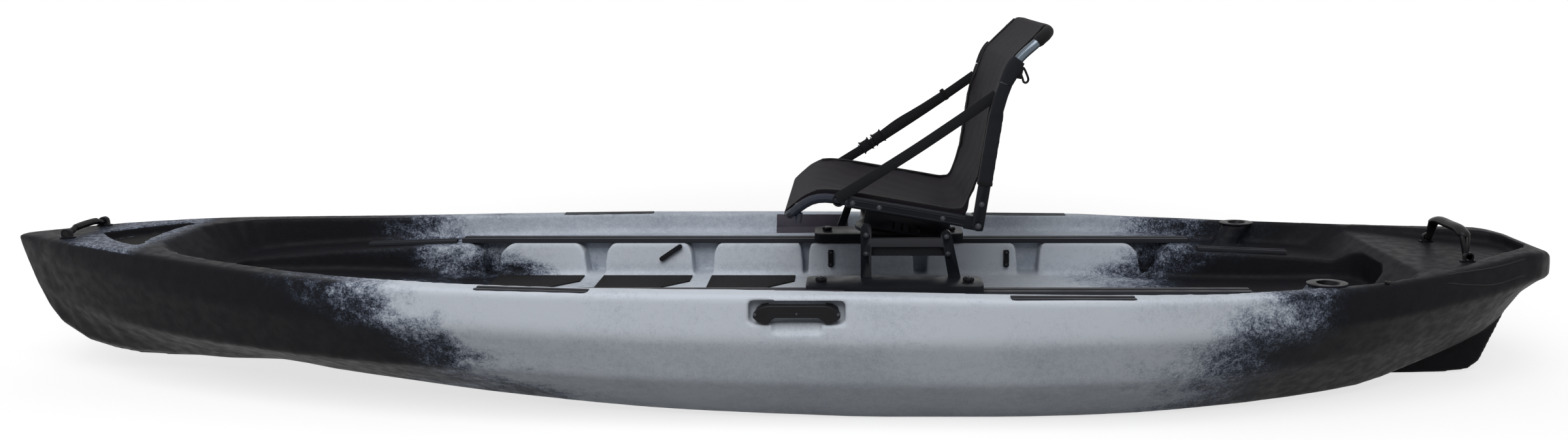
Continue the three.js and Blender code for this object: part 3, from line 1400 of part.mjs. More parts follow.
function buildEndHandle(word, place, span, deck, grip) {
  [[-1, 'port'], [1, 'starboard']].forEach(([side, name]) => {
    const foot = addPart(`${word}_handle_foot_${name}`, saddleFoot(side * span), colours.plastic);
    foot.position.set(place, 0, deck + gap);
  });
  const handle = addPart(`${word}_handle`, grip, colours.rubber);
  handle.position.set(place, 0, deck + gap + handleLift);
}

function buildEndHandles() {
  const bowDeck = Math.max(
    rimHeightAt(bowHandlePlace - saddleReach),
    rimHeightAt(bowHandlePlace + saddleReach),
  );
  const bowGrip = gripTube(bowGripShares, bowHandleSpan, bowHandleRise, 0, 28);
  buildEndHandle('bow', bowHandlePlace, bowHandleSpan, bowDeck, bowGrip);
  const strands = [-strandSpread, strandSpread].map((spread) => (
    gripTube(sternGripShares, sternHandleSpan, sternHandleRise, spread, 36)));
  buildEndHandle('stern', sternHandlePlace, sternHandleSpan, sternDeckHeight, join(strands));
}

// Assembly

function buildSeat() {
  const base = new THREE.Group();
  base.position.x = baseCentre;
  kayak.add(base);
  buildBeams(base);
  buildLegs(base);
  buildSwivelBase(base);
  buildKnobs(base);
  const pan = new THREE.Group();
  panMatrix().decompose(pan.position, pan.quaternion, pan.scale);
  base.add(pan);
  buildSwivelHub(base);
  buildTiltBracket(pan);
  buildRails(pan);
  buildCrossBars(pan);
  buildFrontFrame(pan);
  buildPanSling(pan);
  const lever = new THREE.Group();
  lever.position.copy(new THREE.Vector3(leverPivotAlong, 0, leverPivotUp).applyMatrix4(panMatrix()));
  base.add(lever);
  buildLever(lever);
  const back = new THREE.Group();
  back.position.copy(hingePoint());
  base.add(back);
  buildUprights(back);
  buildHead(back);
  buildBackSling(back);
  buildSlingBend(back);
  buildStraps(back);
}

buildHull();
buildLedgeTracks();
buildRimTracks();
buildSideHandles();
buildFloorPads();
buildPadEyes();
buildPaddleClip();
buildRodHolders();
buildBowMat();
buildDrainPlug();
buildEndHandles();
buildSeat();

export default kayak;
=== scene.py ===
"""Looks of the fishing kayak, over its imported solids. Metres, bow along -X, +Z up."""
import json
import math

import bmesh
import bpy
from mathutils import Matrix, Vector
from mathutils.bvhtree import BVHTree
from mathutils.kdtree import KDTree

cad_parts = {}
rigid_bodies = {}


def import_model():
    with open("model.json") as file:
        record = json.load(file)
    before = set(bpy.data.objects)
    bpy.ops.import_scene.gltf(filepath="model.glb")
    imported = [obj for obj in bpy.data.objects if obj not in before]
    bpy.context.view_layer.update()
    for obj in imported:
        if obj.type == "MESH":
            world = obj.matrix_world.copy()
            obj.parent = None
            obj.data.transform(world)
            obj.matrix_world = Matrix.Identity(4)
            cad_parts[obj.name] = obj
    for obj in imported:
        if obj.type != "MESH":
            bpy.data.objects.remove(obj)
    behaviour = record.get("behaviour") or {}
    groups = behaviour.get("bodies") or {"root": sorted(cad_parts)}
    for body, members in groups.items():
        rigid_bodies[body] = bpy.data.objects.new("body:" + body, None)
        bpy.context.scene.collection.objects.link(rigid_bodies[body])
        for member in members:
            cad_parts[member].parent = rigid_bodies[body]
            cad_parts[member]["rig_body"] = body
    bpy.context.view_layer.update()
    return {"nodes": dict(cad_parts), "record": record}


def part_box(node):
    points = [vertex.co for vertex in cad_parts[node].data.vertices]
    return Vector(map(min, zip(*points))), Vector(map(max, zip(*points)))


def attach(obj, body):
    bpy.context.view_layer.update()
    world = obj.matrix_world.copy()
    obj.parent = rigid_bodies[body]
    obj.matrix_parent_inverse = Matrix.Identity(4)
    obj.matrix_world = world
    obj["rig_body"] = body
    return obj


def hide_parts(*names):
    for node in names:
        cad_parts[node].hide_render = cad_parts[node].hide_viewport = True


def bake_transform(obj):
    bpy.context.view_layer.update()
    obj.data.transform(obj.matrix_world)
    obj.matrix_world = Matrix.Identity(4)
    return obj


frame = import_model()
nodes = frame["nodes"]
scene = bpy.context.scene


# Materials

class Mat:
    """A material with short calls for its nodes."""

    def __init__(self, name, rough=0.5, metal=0.0, **shader):
        self.mat = bpy.data.materials.new(name)
        self.mat.use_nodes = True
        self.tree = self.mat.node_tree
        self.shader = self.tree.nodes["Principled BSDF"]
        self.set(self.shader, 0, Roughness=rough, Metallic=metal, **shader)
        self.place = self.add("ShaderNodeTexCoord").outputs["Object"]

    def set(self, node, start, *values, **named):
        for i, value in enumerate(values):
            self.plug(node.inputs[start + i], value)
        for key, value in named.items():
            self.plug(node.inputs[key.replace("_", " ")], value)

    def plug(self, socket, value):
        if hasattr(value, "links"):
            self.tree.links.new(value, socket)
        elif value is not None:
            if hasattr(value, "__len__") and len(value) == 3 and socket.type == "RGBA":
                value = (*value, 1)
            socket.default_value = value

    def add(self, kind, *values, props=(), **named):
        node = self.tree.nodes.new(kind)
        for key, value in dict(props).items():
            setattr(node, key, value)
        self.set(node, 0, *values, **named)
        return node

    def math(self, op, a, b=None, clamp=False):
        node = self.add("ShaderNodeMath", a, b, props={"operation": op, "use_clamp": clamp})
        return node.outputs[0]

    def split(self, vector=None):
        return self.add("ShaderNodeSeparateXYZ", vector or self.place).outputs

    def scaled(self, factors, vector=None):
        node = self.add("ShaderNodeVectorMath", vector or self.place, factors,
                        props={"operation": "MULTIPLY"})
        return node.outputs[0]

    def noise(self, scale, detail=3.0, vector=None, rough=0.5, distortion=0.0):
        node = self.add("ShaderNodeTexNoise", Scale=scale, Detail=detail, Roughness=rough,
                        Distortion=distortion)
        self.plug(node.inputs["Vector"], vector or self.place)
        return node.outputs["Fac"]

    def step(self, value, low, high, to_low=0.0, to_high=1.0):
        node = self.add("ShaderNodeMapRange", value, low, high, to_low, to_high,
                        props={"interpolation_type": "SMOOTHSTEP"})
        return node.outputs[0]

    def mix(self, factor, a, b):
        node = self.add("ShaderNodeMix", props={"data_type": "RGBA"})
        self.plug(node.inputs[0], factor)
        self.plug(node.inputs[6], a)
        self.plug(node.inputs[7], b)
        return node.outputs[2]

    def ramp(self, factor, stops):
        node = self.add("ShaderNodeValToRGB", factor)
        band = node.color_ramp
        for at, colour in stops[1:-1]:
            band.elements.new(at).color = (*colour, 1)
        for element, (at, colour) in ((band.elements[0], stops[0]), (band.elements[-1], stops[-1])):
            element.position = at
            element.color = (*colour, 1)
        return node.outputs[0]

    def bump(self, height, strength, distance=0.001):
        node = self.add("ShaderNodeBump", Strength=strength, Distance=distance, Height=height)
        self.plug(self.shader.inputs["Normal"], node.outputs[0])

    def finish(self, colour, rough=None):
        self.plug(self.shader.inputs["Base Color"], colour)
        if rough is not None:
            self.plug(self.shader.inputs["Roughness"], rough)
        return self.mat


def hull_plastic():
    """Pale and black resin, run into each other in the mould, with painted shade below the knuckle line and
    painted light on the up-facing faces at the bow.
    """
    m = Mat("hull_plastic", Specular_IOR_Level=0.05)
    x, y, z = m.split()
    cloud = m.noise(2.6, 4, m.scaled((1.0, 1.2, 1.5)), 0.6, 0.3)
    wisp = m.noise(8.0, 5, m.scaled((0.8, 1.0, 1.5)), 0.68, 0.4)
    sway = m.math("ADD", m.math("MULTIPLY", m.math("SUBTRACT", cloud, 0.5), 0.75),
                  m.math("MULTIPLY", m.math("SUBTRACT", wisp, 0.5), 0.62))
    low = m.step(z, 0.32, 0.14, 0.0, 1.0)
    far = m.step(y, -0.34, 0.0, 0.0, 1.0)
    fore = m.math("SUBTRACT", m.math("ADD", x, sway), m.math("MULTIPLY", low, 0.28))
    bow = m.step(fore, -1.20, -0.72, 1.0, 0.0)
    aft = m.math("ADD", m.math("SUBTRACT", x, m.math("MULTIPLY", sway, 0.6)), m.math("MULTIPLY", low, 0.24))
    stern = m.step(m.math("ADD", aft, m.math("MULTIPLY", far, 0.12)), 0.97, 1.42)
    up = m.split(m.add("ShaderNodeNewGeometry").outputs["Normal"])[2]
    # Painted light: faces that look up in the bow recess span keep only half of the dark resin, so the deck
    # tops there are painted paler than the sides below them.
    round_recess = m.math("MULTIPLY", m.step(x, -1.50, -1.56), m.step(x, -1.80, -1.68))
    painted_deck_light = m.math("MULTIPLY", m.step(up, 0.45, 0.75), round_recess)
    bow = m.math("MULTIPLY", bow, m.math("SUBTRACT", 1.0, m.math("MULTIPLY", painted_deck_light, 0.5)))
    dark = m.math("MAXIMUM", bow, stern)
    pepper = m.noise(240.0, 3, m.place, 0.75)
    grain = m.noise(70.0, 4, m.place, 0.7)
    edge = m.math("MULTIPLY", m.math("MULTIPLY", dark, m.math("SUBTRACT", 1.0, dark)), 4.0)
    speck = m.math("MULTIPLY", m.math("ADD", m.math("MULTIPLY", m.math("SUBTRACT", pepper, 0.5), 1.6),
                                      m.math("MULTIPLY", m.math("SUBTRACT", grain, 0.5), 1.3)),
                   m.math("ADD", m.math("MULTIPLY", edge, 0.7), 0.19))
    mottle = m.math("MULTIPLY", m.math("SUBTRACT", m.noise(6.0, 4, m.scaled((0.6, 1, 1)), 0.6), 0.48), 0.32)
    # Painted shade: the side below the knuckle line, under z 0.23 m, is painted a little darker, as it turns
    # away from the light; the far side, from y 0.22 m out, is painted darker too.
    band = m.math("ADD", m.step(z, 0.240, 0.226, 0.0, 0.035), m.step(y, 0.22, 0.30, 0.0, 0.16))
    pale = m.math("SUBTRACT", 1.0, dark)
    shaded = m.math("MULTIPLY", m.math("ADD", mottle, band), pale)
    tone = m.math("ADD", m.math("ADD", dark, speck), shaded, clamp=True)
    colour = m.ramp(tone, [
        (0.0, (0.56, 0.60, 0.66)), (0.14, (0.42, 0.46, 0.52)), (0.34, (0.22, 0.25, 0.31)),
        (0.58, (0.060, 0.070, 0.098)), (0.80, (0.014, 0.016, 0.022)), (1.0, (0.009, 0.009, 0.011))])
    rough = m.step(m.noise(40.0, 3), 0.3, 0.7, 0.42, 0.56)
    m.bump(m.math("ADD", m.noise(420.0, 2), m.math("MULTIPLY", m.noise(90.0, 2), 1.2)), 0.18, 0.0012)
    return m.finish(colour, rough)


def black_metal(name="black_metal", base=(0.0065, 0.0072, 0.0095), rough=(0.28, 0.42)):
    m = Mat(name, Specular_IOR_Level=0.06)
    fine = m.noise(1400.0, 2)
    broad = m.noise(22.0, 3)
    worn = m.step(m.add("ShaderNodeNewGeometry").outputs["Pointiness"], 0.53, 0.60, 0.0, 0.25)
    colour = m.mix(worn, m.mix(broad, base, tuple(v * 1.5 for v in base)), (0.12, 0.12, 0.13))
    m.bump(fine, 0.12, 0.0004)
    return m.finish(colour, m.step(broad, 0.3, 0.7, *rough))


def moulded_plastic(name="moulded_plastic", base=(0.009, 0.009, 0.011), rough=(0.32, 0.46)):
    m = Mat(name, Specular_IOR_Level=0.08)
    broad = m.noise(30.0, 3)
    m.bump(m.noise(900.0, 2), 0.3, 0.0005)
    return m.finish(m.mix(broad, base, tuple(v * 1.7 for v in base)), m.step(broad, 0.3, 0.7, *rough))


def bright_metal(name="bright_metal", dark=(0.42, 0.44, 0.46), light=(0.56, 0.58, 0.60)):
    m = Mat(name, metal=1.0)
    drawn = m.noise(900.0, 3, m.scaled((1.0, 1.0, 0.06)))
    broad = m.noise(14.0, 3)
    m.bump(drawn, 0.08, 0.0004)
    return m.finish(m.mix(broad, dark, light), m.step(drawn, 0.2, 0.8, 0.24, 0.4))


def rubber(name="rubber", base=(0.012, 0.012, 0.013), rough=(0.5, 0.66), gloss=0.0):
    m = Mat(name, Coat_Weight=gloss, Coat_Roughness=0.25, Specular_IOR_Level=0.1)
    broad = m.noise(24.0, 4)
    m.bump(m.noise(520.0, 3), 0.45, 0.0007)
    return m.finish(m.mix(broad, base, tuple(v * 1.9 for v in base)), m.step(broad, 0.3, 0.7, *rough))


def foam_pad():
    m = Mat("foam_pad", Specular_IOR_Level=0.12)
    x, y, _ = m.split()
    turn = math.tau / 0.009
    rows = [m.math("SINE", m.math("MULTIPLY", m.math(op, x, y), turn)) for op in ("ADD", "SUBTRACT")]
    diamond = m.math("MULTIPLY", *rows)
    cell = m.noise(700.0, 3)
    colour = m.mix(m.step(diamond, -0.4, 0.5), (0.007, 0.0068, 0.0075), (0.016, 0.015, 0.016))
    m.bump(m.math("ADD", m.math("MULTIPLY", diamond, 0.8), cell), 0.5, 0.0012)
    return m.finish(colour, m.step(cell, 0.3, 0.7, 0.62, 0.82))


def woven(name, base, light, pitch, sheen=0.2, rough=0.75, strength=0.6):
    """Plain weave that follows the piece's own map, which is in metres."""
    m = Mat(name, Sheen_Weight=sheen, Sheen_Roughness=0.45, Specular_IOR_Level=0.12)
    uv = m.add("ShaderNodeUVMap", props={"uv_map": "cloth"}).outputs[0]
    u, v, _ = m.split(uv)
    a = m.math("SINE", m.math("MULTIPLY", u, math.tau / pitch))
    b = m.math("SINE", m.math("MULTIPLY", v, math.tau / pitch))
    over = m.math("GREATER_THAN", m.math("MULTIPLY", a, b), 0.0)
    thread = m.mix(over, m.math("ABSOLUTE", a), m.math("ABSOLUTE", b))
    wide = m.noise(9.0, 4, uv, 0.6)
    slub = m.noise(260.0, 2, m.scaled((1.0, 0.12, 1.0), uv))
    tone = m.math("ADD", m.math("MULTIPLY", wide, 0.55), m.math("MULTIPLY", slub, 0.45))
    colour = m.mix(thread, tuple(v * 0.55 for v in base), m.mix(tone, base, light))
    m.bump(m.math("ADD", thread, m.math("MULTIPLY", slub, 0.4)), strength, 0.0006)
    return m.finish(colour, rough)


HULL = hull_plastic()
METAL = black_metal()
TRACK = black_metal("track_metal", (0.011, 0.012, 0.016), (0.38, 0.52))
PLASTIC = moulded_plastic()
GLOSSY = moulded_plastic("glossy_plastic", (0.008, 0.008, 0.010), (0.28, 0.4))
BRIGHT = bright_metal("head_tube_metal", (0.060, 0.075, 0.092), (0.14, 0.165, 0.195))
RUBBER = rubber()
GRIP = rubber("grip_rubber", (0.006, 0.006, 0.007), (0.26, 0.38), 0.05)
PAD = foam_pad()
SLING = woven("sling_cloth", (0.0065, 0.0052, 0.0075), (0.0165, 0.0132, 0.0195), 0.0022, 0.0)
WEBBING = woven("webbing", (0.007, 0.0075, 0.009), (0.018, 0.019, 0.023), 0.003, 0.03, 0.7, 0.8)
BINDING = woven("binding", (0.005, 0.005, 0.006), (0.012, 0.012, 0.014), 0.0016, 0.02, 0.7, 0.5)
SLEEVE = woven("sleeve_cloth", (0.008, 0.009, 0.012), (0.019, 0.020, 0.026), 0.0020, 0.03, 0.7, 0.5)
BENT = black_metal("bent_tube", (0.018, 0.021, 0.031), (0.34, 0.48))
PIN = bright_metal("pin_metal")
STEEL = bright_metal("steel", (0.030, 0.032, 0.038), (0.065, 0.068, 0.078))
# The handle backings get a dark brownish colour: painted shade of the seat, laid over the inner bulges of the
# handle recesses on the far inner wall.
BACKING_SHADE = moulded_plastic("backing_painted_shade", (0.040, 0.036, 0.047), (0.42, 0.6))
SLOT_MATERIALS = {
    "hull_polyethylene": HULL, "track_aluminium": TRACK, "frame_aluminium": METAL, "head_tube": BRIGHT,
    "fitting_plastic": PLASTIC, "rubber": RUBBER, "sling_fabric": SLING, "webbing": WEBBING,
}


def dress(obj, material, angle=32):
    """Gives a mesh one material, with smooth faces up to an angle."""
    obj.data.materials.clear()
    obj.data.materials.append(material)
    obj.data.shade_smooth()
    obj.data.set_sharp_from_angle(angle=math.radians(angle))
    return obj


slots = {s["node"]: s["material_slot"] for s in frame["record"]["subparts"]}
for name, node in nodes.items():
    dress(node, SLOT_MATERIALS[slots[name]])


SIDES = ((-1, "port"), (1, "starboard"))


# Mesh helpers

def link(name, verts, faces, material, body, angle, uvs):
    """A mesh piece that rides on a body. uvs hold one place per face corner, in metres."""
    mesh = bpy.data.meshes.new(name)
    mesh.from_pydata([tuple(v) for v in verts], [], faces)
    layer = mesh.uv_layers.new(name="cloth")
    layer.data.foreach_set("uv", [c for face in uvs for corner in face for c in corner])
    obj = bpy.data.objects.new(name, mesh)
    scene.collection.objects.link(obj)
    bm = bmesh.new()
    bm.from_mesh(mesh)
    bmesh.ops.recalc_face_normals(bm, faces=bm.faces)
    bm.to_mesh(mesh)
    bm.free()
    dress(obj, material, angle)
    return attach(obj, body) if body else obj


def applied(obj):
    """Bakes the modifiers of a piece into its mesh."""
    bpy.context.view_layer.update()
    graph = bpy.context.evaluated_depsgraph_get()
    mesh = bpy.data.meshes.new_from_object(obj.evaluated_get(graph))
    obj.modifiers.clear()
    obj.data = mesh
    return obj


def welded(node, name):
    """A copy of a solid with its corners joined and its flat faces made whole."""
    mesh = nodes[node].data.copy()
    bm = bmesh.new()
    bm.from_mesh(mesh)
    bmesh.ops.remove_doubles(bm, verts=bm.verts, dist=1e-6)
    bmesh.ops.dissolve_limit(bm, angle_limit=0.002, verts=bm.verts, edges=bm.edges)
    bm.to_mesh(mesh)
    bm.free()
    obj = bpy.data.objects.new(name, mesh)
    scene.collection.objects.link(obj)
    return obj


def stands_for(obj, node, material, angle):
    """Puts a piece on the body of a solid, in its place."""
    dress(obj, material, angle)
    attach(obj, nodes[node]["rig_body"])
    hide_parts(node)
    return obj


def evened(obj, node, near=0.006, away=0.024, spacing=0.006, rounds=30):
    """Evens the broad faces of a moulding, and leaves those by the edges of its solid as they are."""
    bm = bmesh.new()
    bm.from_mesh(nodes[node].data)
    bmesh.ops.remove_doubles(bm, verts=bm.verts, dist=1e-6)
    points = []
    for edge in bm.edges:
        if edge.calc_face_angle(0.0) > math.radians(16):
            a, b = (v.co for v in edge.verts)
            count = max(1, int((b - a).length / spacing))
            points += [a.lerp(b, k / count) for k in range(count + 1)]
    bm.free()
    edges = KDTree(len(points))
    for i, point in enumerate(points):
        edges.insert(point, i)
    edges.balance()
    top = 8
    levels = [[] for _ in range(top + 1)]
    for v in obj.data.vertices:
        share = (edges.find(v.co)[2] - near) / (away - near)
        levels[round(top * min(1.0, max(0.0, share)))].append(v.index)
    group = obj.vertex_groups.new(name="broad")
    for level, found in enumerate(levels):
        group.add(found, level / top, "REPLACE")
    even = obj.modifiers.new("even", "SMOOTH")
    even.factor = 0.5
    even.iterations = rounds
    even.vertex_group = "broad"
    applied(obj)


def moulded(node, name, voxel, rounds, faces, material, opening=None, broad=False):
    """A copy of a solid whose edges are rounded, as a moulding's are. The opening is cut out first."""
    obj = welded(node, name)
    if opening:
        cut = obj.modifiers.new("cut", "BOOLEAN")
        cut.object = opening
        applied(obj)
        bpy.data.objects.remove(opening)
    remesh = obj.modifiers.new("remesh", "REMESH")
    remesh.mode = "VOXEL"
    remesh.voxel_size = voxel
    soften = obj.modifiers.new("soften", "SMOOTH")
    soften.factor = 0.5
    soften.iterations = rounds
    applied(obj)
    if broad:
        evened(obj, node)
    count = len(obj.data.polygons) * 2
    if count > faces:
        fewer = obj.modifiers.new("fewer", "DECIMATE")
        fewer.ratio = faces / count
        applied(obj)
    return stands_for(obj, node, material, 50)


def eased(node, material, width):
    """A copy of a machined or pressed solid with small broken edges."""
    obj = welded(node, node + "_eased")
    bevel = obj.modifiers.new("ease", "BEVEL")
    bevel.width = width
    bevel.segments = 2
    bevel.limit_method = "ANGLE"
    bevel.angle_limit = math.radians(38)
    applied(obj)
    return stands_for(obj, node, material, 30)


def spline(rows, count):
    """Evenly spaced samples of a smooth curve through rows of numbers."""
    last = len(rows) - 1
    fine = []
    for i in range(last):
        p = [rows[max(0, min(last, i + k))] for k in (-1, 0, 1, 2)]
        for s in range(12):
            t = s / 12
            w = ((-t + 2 * t * t - t ** 3) / 2, (2 - 5 * t * t + 3 * t ** 3) / 2,
                 (t + 4 * t * t - 3 * t ** 3) / 2, (t ** 3 - t * t) / 2)
            fine.append([sum(a * q[c] for a, q in zip(w, p)) for c in range(len(rows[0]))])
    fine.append(list(rows[-1]))
    run = [0.0]
    for a, b in zip(fine, fine[1:]):
        run.append(run[-1] + math.dist(a[:3], b[:3]))
    out, j = [], 0
    for i in range(count):
        goal = run[-1] * i / (count - 1)
        while j < len(run) - 2 and run[j + 1] < goal:
            j += 1
        t = (goal - run[j]) / max(run[j + 1] - run[j], 1e-9)
        out.append([a + (b - a) * t for a, b in zip(fine[j], fine[j + 1])])
    return out


def skin(name, rings, material, body, around=True, caps=True, angle=50):
    """Faces between rings of points, with a map in metres along and across."""
    n = len(rings[0])
    verts = [p for ring in rings for p in ring]
    middle = rings[len(rings) // 2]
    u = [0.0]
    for k in range(n):
        u.append(u[-1] + (Vector(middle[(k + 1) % n]) - Vector(middle[k])).length)
    v = [0.0]
    for a, b in zip(rings, rings[1:]):
        v.append(v[-1] + (Vector(b[n // 2]) - Vector(a[n // 2])).length)
    faces, uvs = [], []
    for i in range(len(rings) - 1):
        for k in range(n if around else n - 1):
            m = (k + 1) % n
            faces.append((i * n + k, i * n + m, (i + 1) * n + m, (i + 1) * n + k))
            uvs.append(((u[k], v[i]), (u[k + 1], v[i]), (u[k + 1], v[i + 1]), (u[k], v[i + 1])))
    if around and caps:
        for i in (0, len(rings) - 1):
            faces.append(tuple(i * n + k for k in range(n)))
            uvs.append(tuple((u[k], v[i]) for k in range(n)))
    return link(name, verts, faces, material, body, angle, uvs)


def swept(name, path, profile, material, body, side=None, size=None, caps=True):
    """A closed profile carried along a path without twist. size gives its scale at a share of the path."""
    path = [Vector(p) for p in path]
    rings = []
    last = len(path) - 1
    for i, p in enumerate(path):
        ahead = (path[min(i + 1, last)] - path[max(i - 1, 0)]).normalized()
        side = Vector(side) if side is not None else ahead.orthogonal()
        side = (side - ahead * side.dot(ahead)).normalized()
        other = ahead.cross(side)
        s = size(i / last) if size else (1, 1)
        rings.append([p + side * (a * s[0]) + other * (b * s[1]) for a, b in profile])
    return skin(name, rings, material, body, True, caps)


def circle(radius, sides=18, flat=1.0):
    return [(radius * math.cos(k * math.tau / sides), radius * flat * math.sin(k * math.tau / sides))
            for k in range(sides)]


def slab(width, height, round_by, steps=3):
    """Outline of a rectangle with rounded corners."""
    points = []
    for cx, cy, start in ((1, 1, 0), (-1, 1, 90), (-1, -1, 180), (1, -1, 270)):
        for s in range(steps + 1):
            a = math.radians(start + 90 * s / steps)
            points.append((cx * (width / 2 - round_by) + round_by * math.cos(a),
                           cy * (height / 2 - round_by) + round_by * math.sin(a)))
    return points


def domed(share, tip, ends):
    """Scale of a piece that narrows at both of its ends."""
    t = min(share, 1 - share) / ends
    return tip + (1 - tip) * math.sqrt(max(0.0, 1 - (1 - t) ** 2)) if t < 1 else 1.0


def rounded_ends(tip, ends):
    """Both scales of a piece that narrows at its ends."""
    return lambda share: (domed(share, tip, ends),) * 2


def turned(name, profile, place, axis, material, body, sides=28, lobes=None, angle=35):
    """Rings about an axis. The profile's rows are radius and height."""
    axis = Vector(axis).normalized()
    a = axis.orthogonal().normalized()
    b = axis.cross(a)
    rings = []
    for radius, height in profile:
        ring = []
        for k in range(sides):
            turn = k * math.tau / sides
            r = radius * (1 + (lobes(turn) if lobes and radius > 0.003 else 0))
            ring.append(Vector(place) + axis * height + a * (r * math.cos(turn)) + b * (r * math.sin(turn)))
        rings.append(ring)
    return skin(name, rings, material, body, True, True, angle)


def joined(name, parts, body=None):
    """One piece from several."""
    bm = bmesh.new()
    for part in parts:
        bm.from_mesh(part.data)
    mesh = bpy.data.meshes.new(name)
    bm.to_mesh(mesh)
    bm.free()
    for material in parts[0].data.materials:
        mesh.materials.append(material)
    for part in parts:
        bpy.data.objects.remove(part)
    obj = bpy.data.objects.new(name, mesh)
    scene.collection.objects.link(obj)
    obj.data.shade_smooth()
    obj.data.set_sharp_from_angle(angle=math.radians(38))
    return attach(obj, body) if body else obj


def socket_heads(name, places, axis, radius, height, material, body):
    """Button heads with a six-sided socket, each standing on its place."""
    heads = []
    for i, place in enumerate(places):
        r, h = radius, height
        rim = [(r * 1.28, 0), (r * 1.28, h * 0.22), (r * 1.02, h * 0.24), (r, h * 0.4), (r * 0.93, h * 0.72),
               (r * 0.74, h * 0.94), (r * 0.5, h), (r * 0.46, h * 0.98)]
        heads.append(turned(f"{name}_{i}", rim, place, axis, material, None, 24))
        well = [(r * 0.46, h * 0.99), (r * 0.44, h * 0.35), (0.0004, h * 0.3)]
        heads.append(turned(f"{name}_{i}w", well, place, axis, material, None, 6, angle=20))
    return joined(name, heads, body)


hull = moulded("hull", "hull_shell", 0.005, 3, 180000, HULL, broad=True)


# Seat cloth: one stretched sheet, from the front tube over the pan and up to the head

TILT = math.radians(9.8)
PAN_MIDDLE = (0.268, 0.482)
HINGE = (0.45818, 0.44916)
BACK_HEIGHT = 0.438
RAIL_Y = 0.235
UPRIGHT_Y = 0.2556
LEG_FACE_Y = 0.2369
HINGE_FACE_Y = 0.2689
CLOTH = 0.0024
HEM_WIDTH = 0.014
HEM_ROWS = slice(26, 176)


def in_pan(along, up):
    return (PAN_MIDDLE[0] + along * math.cos(TILT) + up * math.sin(TILT),
            PAN_MIDDLE[1] - along * math.sin(TILT) + up * math.cos(TILT))


def in_back(aft, up, lead=0.0):
    """A place on the back, in shares of its height, moved ahead of its line."""
    return (HINGE[0] + aft * BACK_HEIGHT - lead * 0.985, HINGE[1] + up * BACK_HEIGHT + lead * 0.17)


def pan_place(along, up, y):
    x, z = in_pan(along, up)
    return x, y, z


def round_bar(centre, radius, turns, place):
    """Points round a bar, by turns in degrees from the direction that points aft."""
    angles = [math.radians(t) for t in turns]
    return [place(centre[0] + radius * math.cos(a), centre[1] + radius * math.sin(a)) for a in angles]


# Rows of the sheet at its edges: fore and aft, up, half width, sag in the middle
front_bar = (-0.2363, -0.058)
cloth_rows = [(*p, w, 0.0) for p, w in zip(
    round_bar(front_bar, 0.0134, (372, 335, 300, 262, 225, 190, 160, 132), in_pan),
    (0.196, 0.199, 0.2, 0.2, 0.2, 0.2, 0.203, 0.209))]
cloth_rows += [(*in_pan(a, u), w, s) for a, u, w, s in (
    (-0.2205, -0.0172, 0.2175, 0.003), (-0.1965, 0.0042, 0.2215, 0.0065), (-0.169, 0.0135, 0.2221, 0.010),
    (-0.1385, 0.0172, 0.2221, 0.013), (-0.105, 0.0188, 0.2221, 0.0155), (-0.0127, 0.019, 0.2221, 0.018),
    (0.079, 0.019, 0.2221, 0.018), (0.129, 0.0188, 0.2221, 0.0175))]
cloth_rows += [
    (0.4140, 0.4790, 0.2221, 0.015), (0.4242, 0.4802, 0.2222, 0.012), (0.4325, 0.4900, 0.2225, 0.010),
    (0.4405, 0.5090, 0.2245, 0.011), (0.4482, 0.5300, 0.231, 0.013), (0.4548, 0.5520, 0.2385, 0.015)]
cloth_rows += [(*in_back(a, u, 0.0142), w, s) for a, u, w, s in (
    (0.0365, 0.272, 0.242, 0.017), (0.0645, 0.46, 0.2434, 0.018), (0.084, 0.6, 0.2434, 0.015))]
head_bar = (0.343, 0.998)
cloth_rows += [
    (0.4975, 0.757, 0.2440, 0.010), (0.5075, 0.7860, 0.2446, 0.007), (0.5180, 0.8130, 0.2450, 0.005),
    (0.5240, 0.8240, 0.2450, 0.004), (0.5325, 0.8330, 0.2450, 0.004), (0.5500, 0.8505, 0.2448, 0.004),
    (0.5700, 0.8700, 0.2440, 0.004), (0.5860, 0.8865, 0.2380, 0.003), (0.5985, 0.8990, 0.2180, 0.001)]
cloth_rows += [(HINGE[0] + head_bar[0] * BACK_HEIGHT + 0.0136 * math.cos(math.radians(t)),
                HINGE[1] + head_bar[1] * BACK_HEIGHT + 0.0136 * math.sin(math.radians(t)), w, 0.0)
               for t, w in ((70, 0.203), (30, 0.199), (-15, 0.198),
                            (-60, 0.198), (-105, 0.197), (-142, 0.196))]


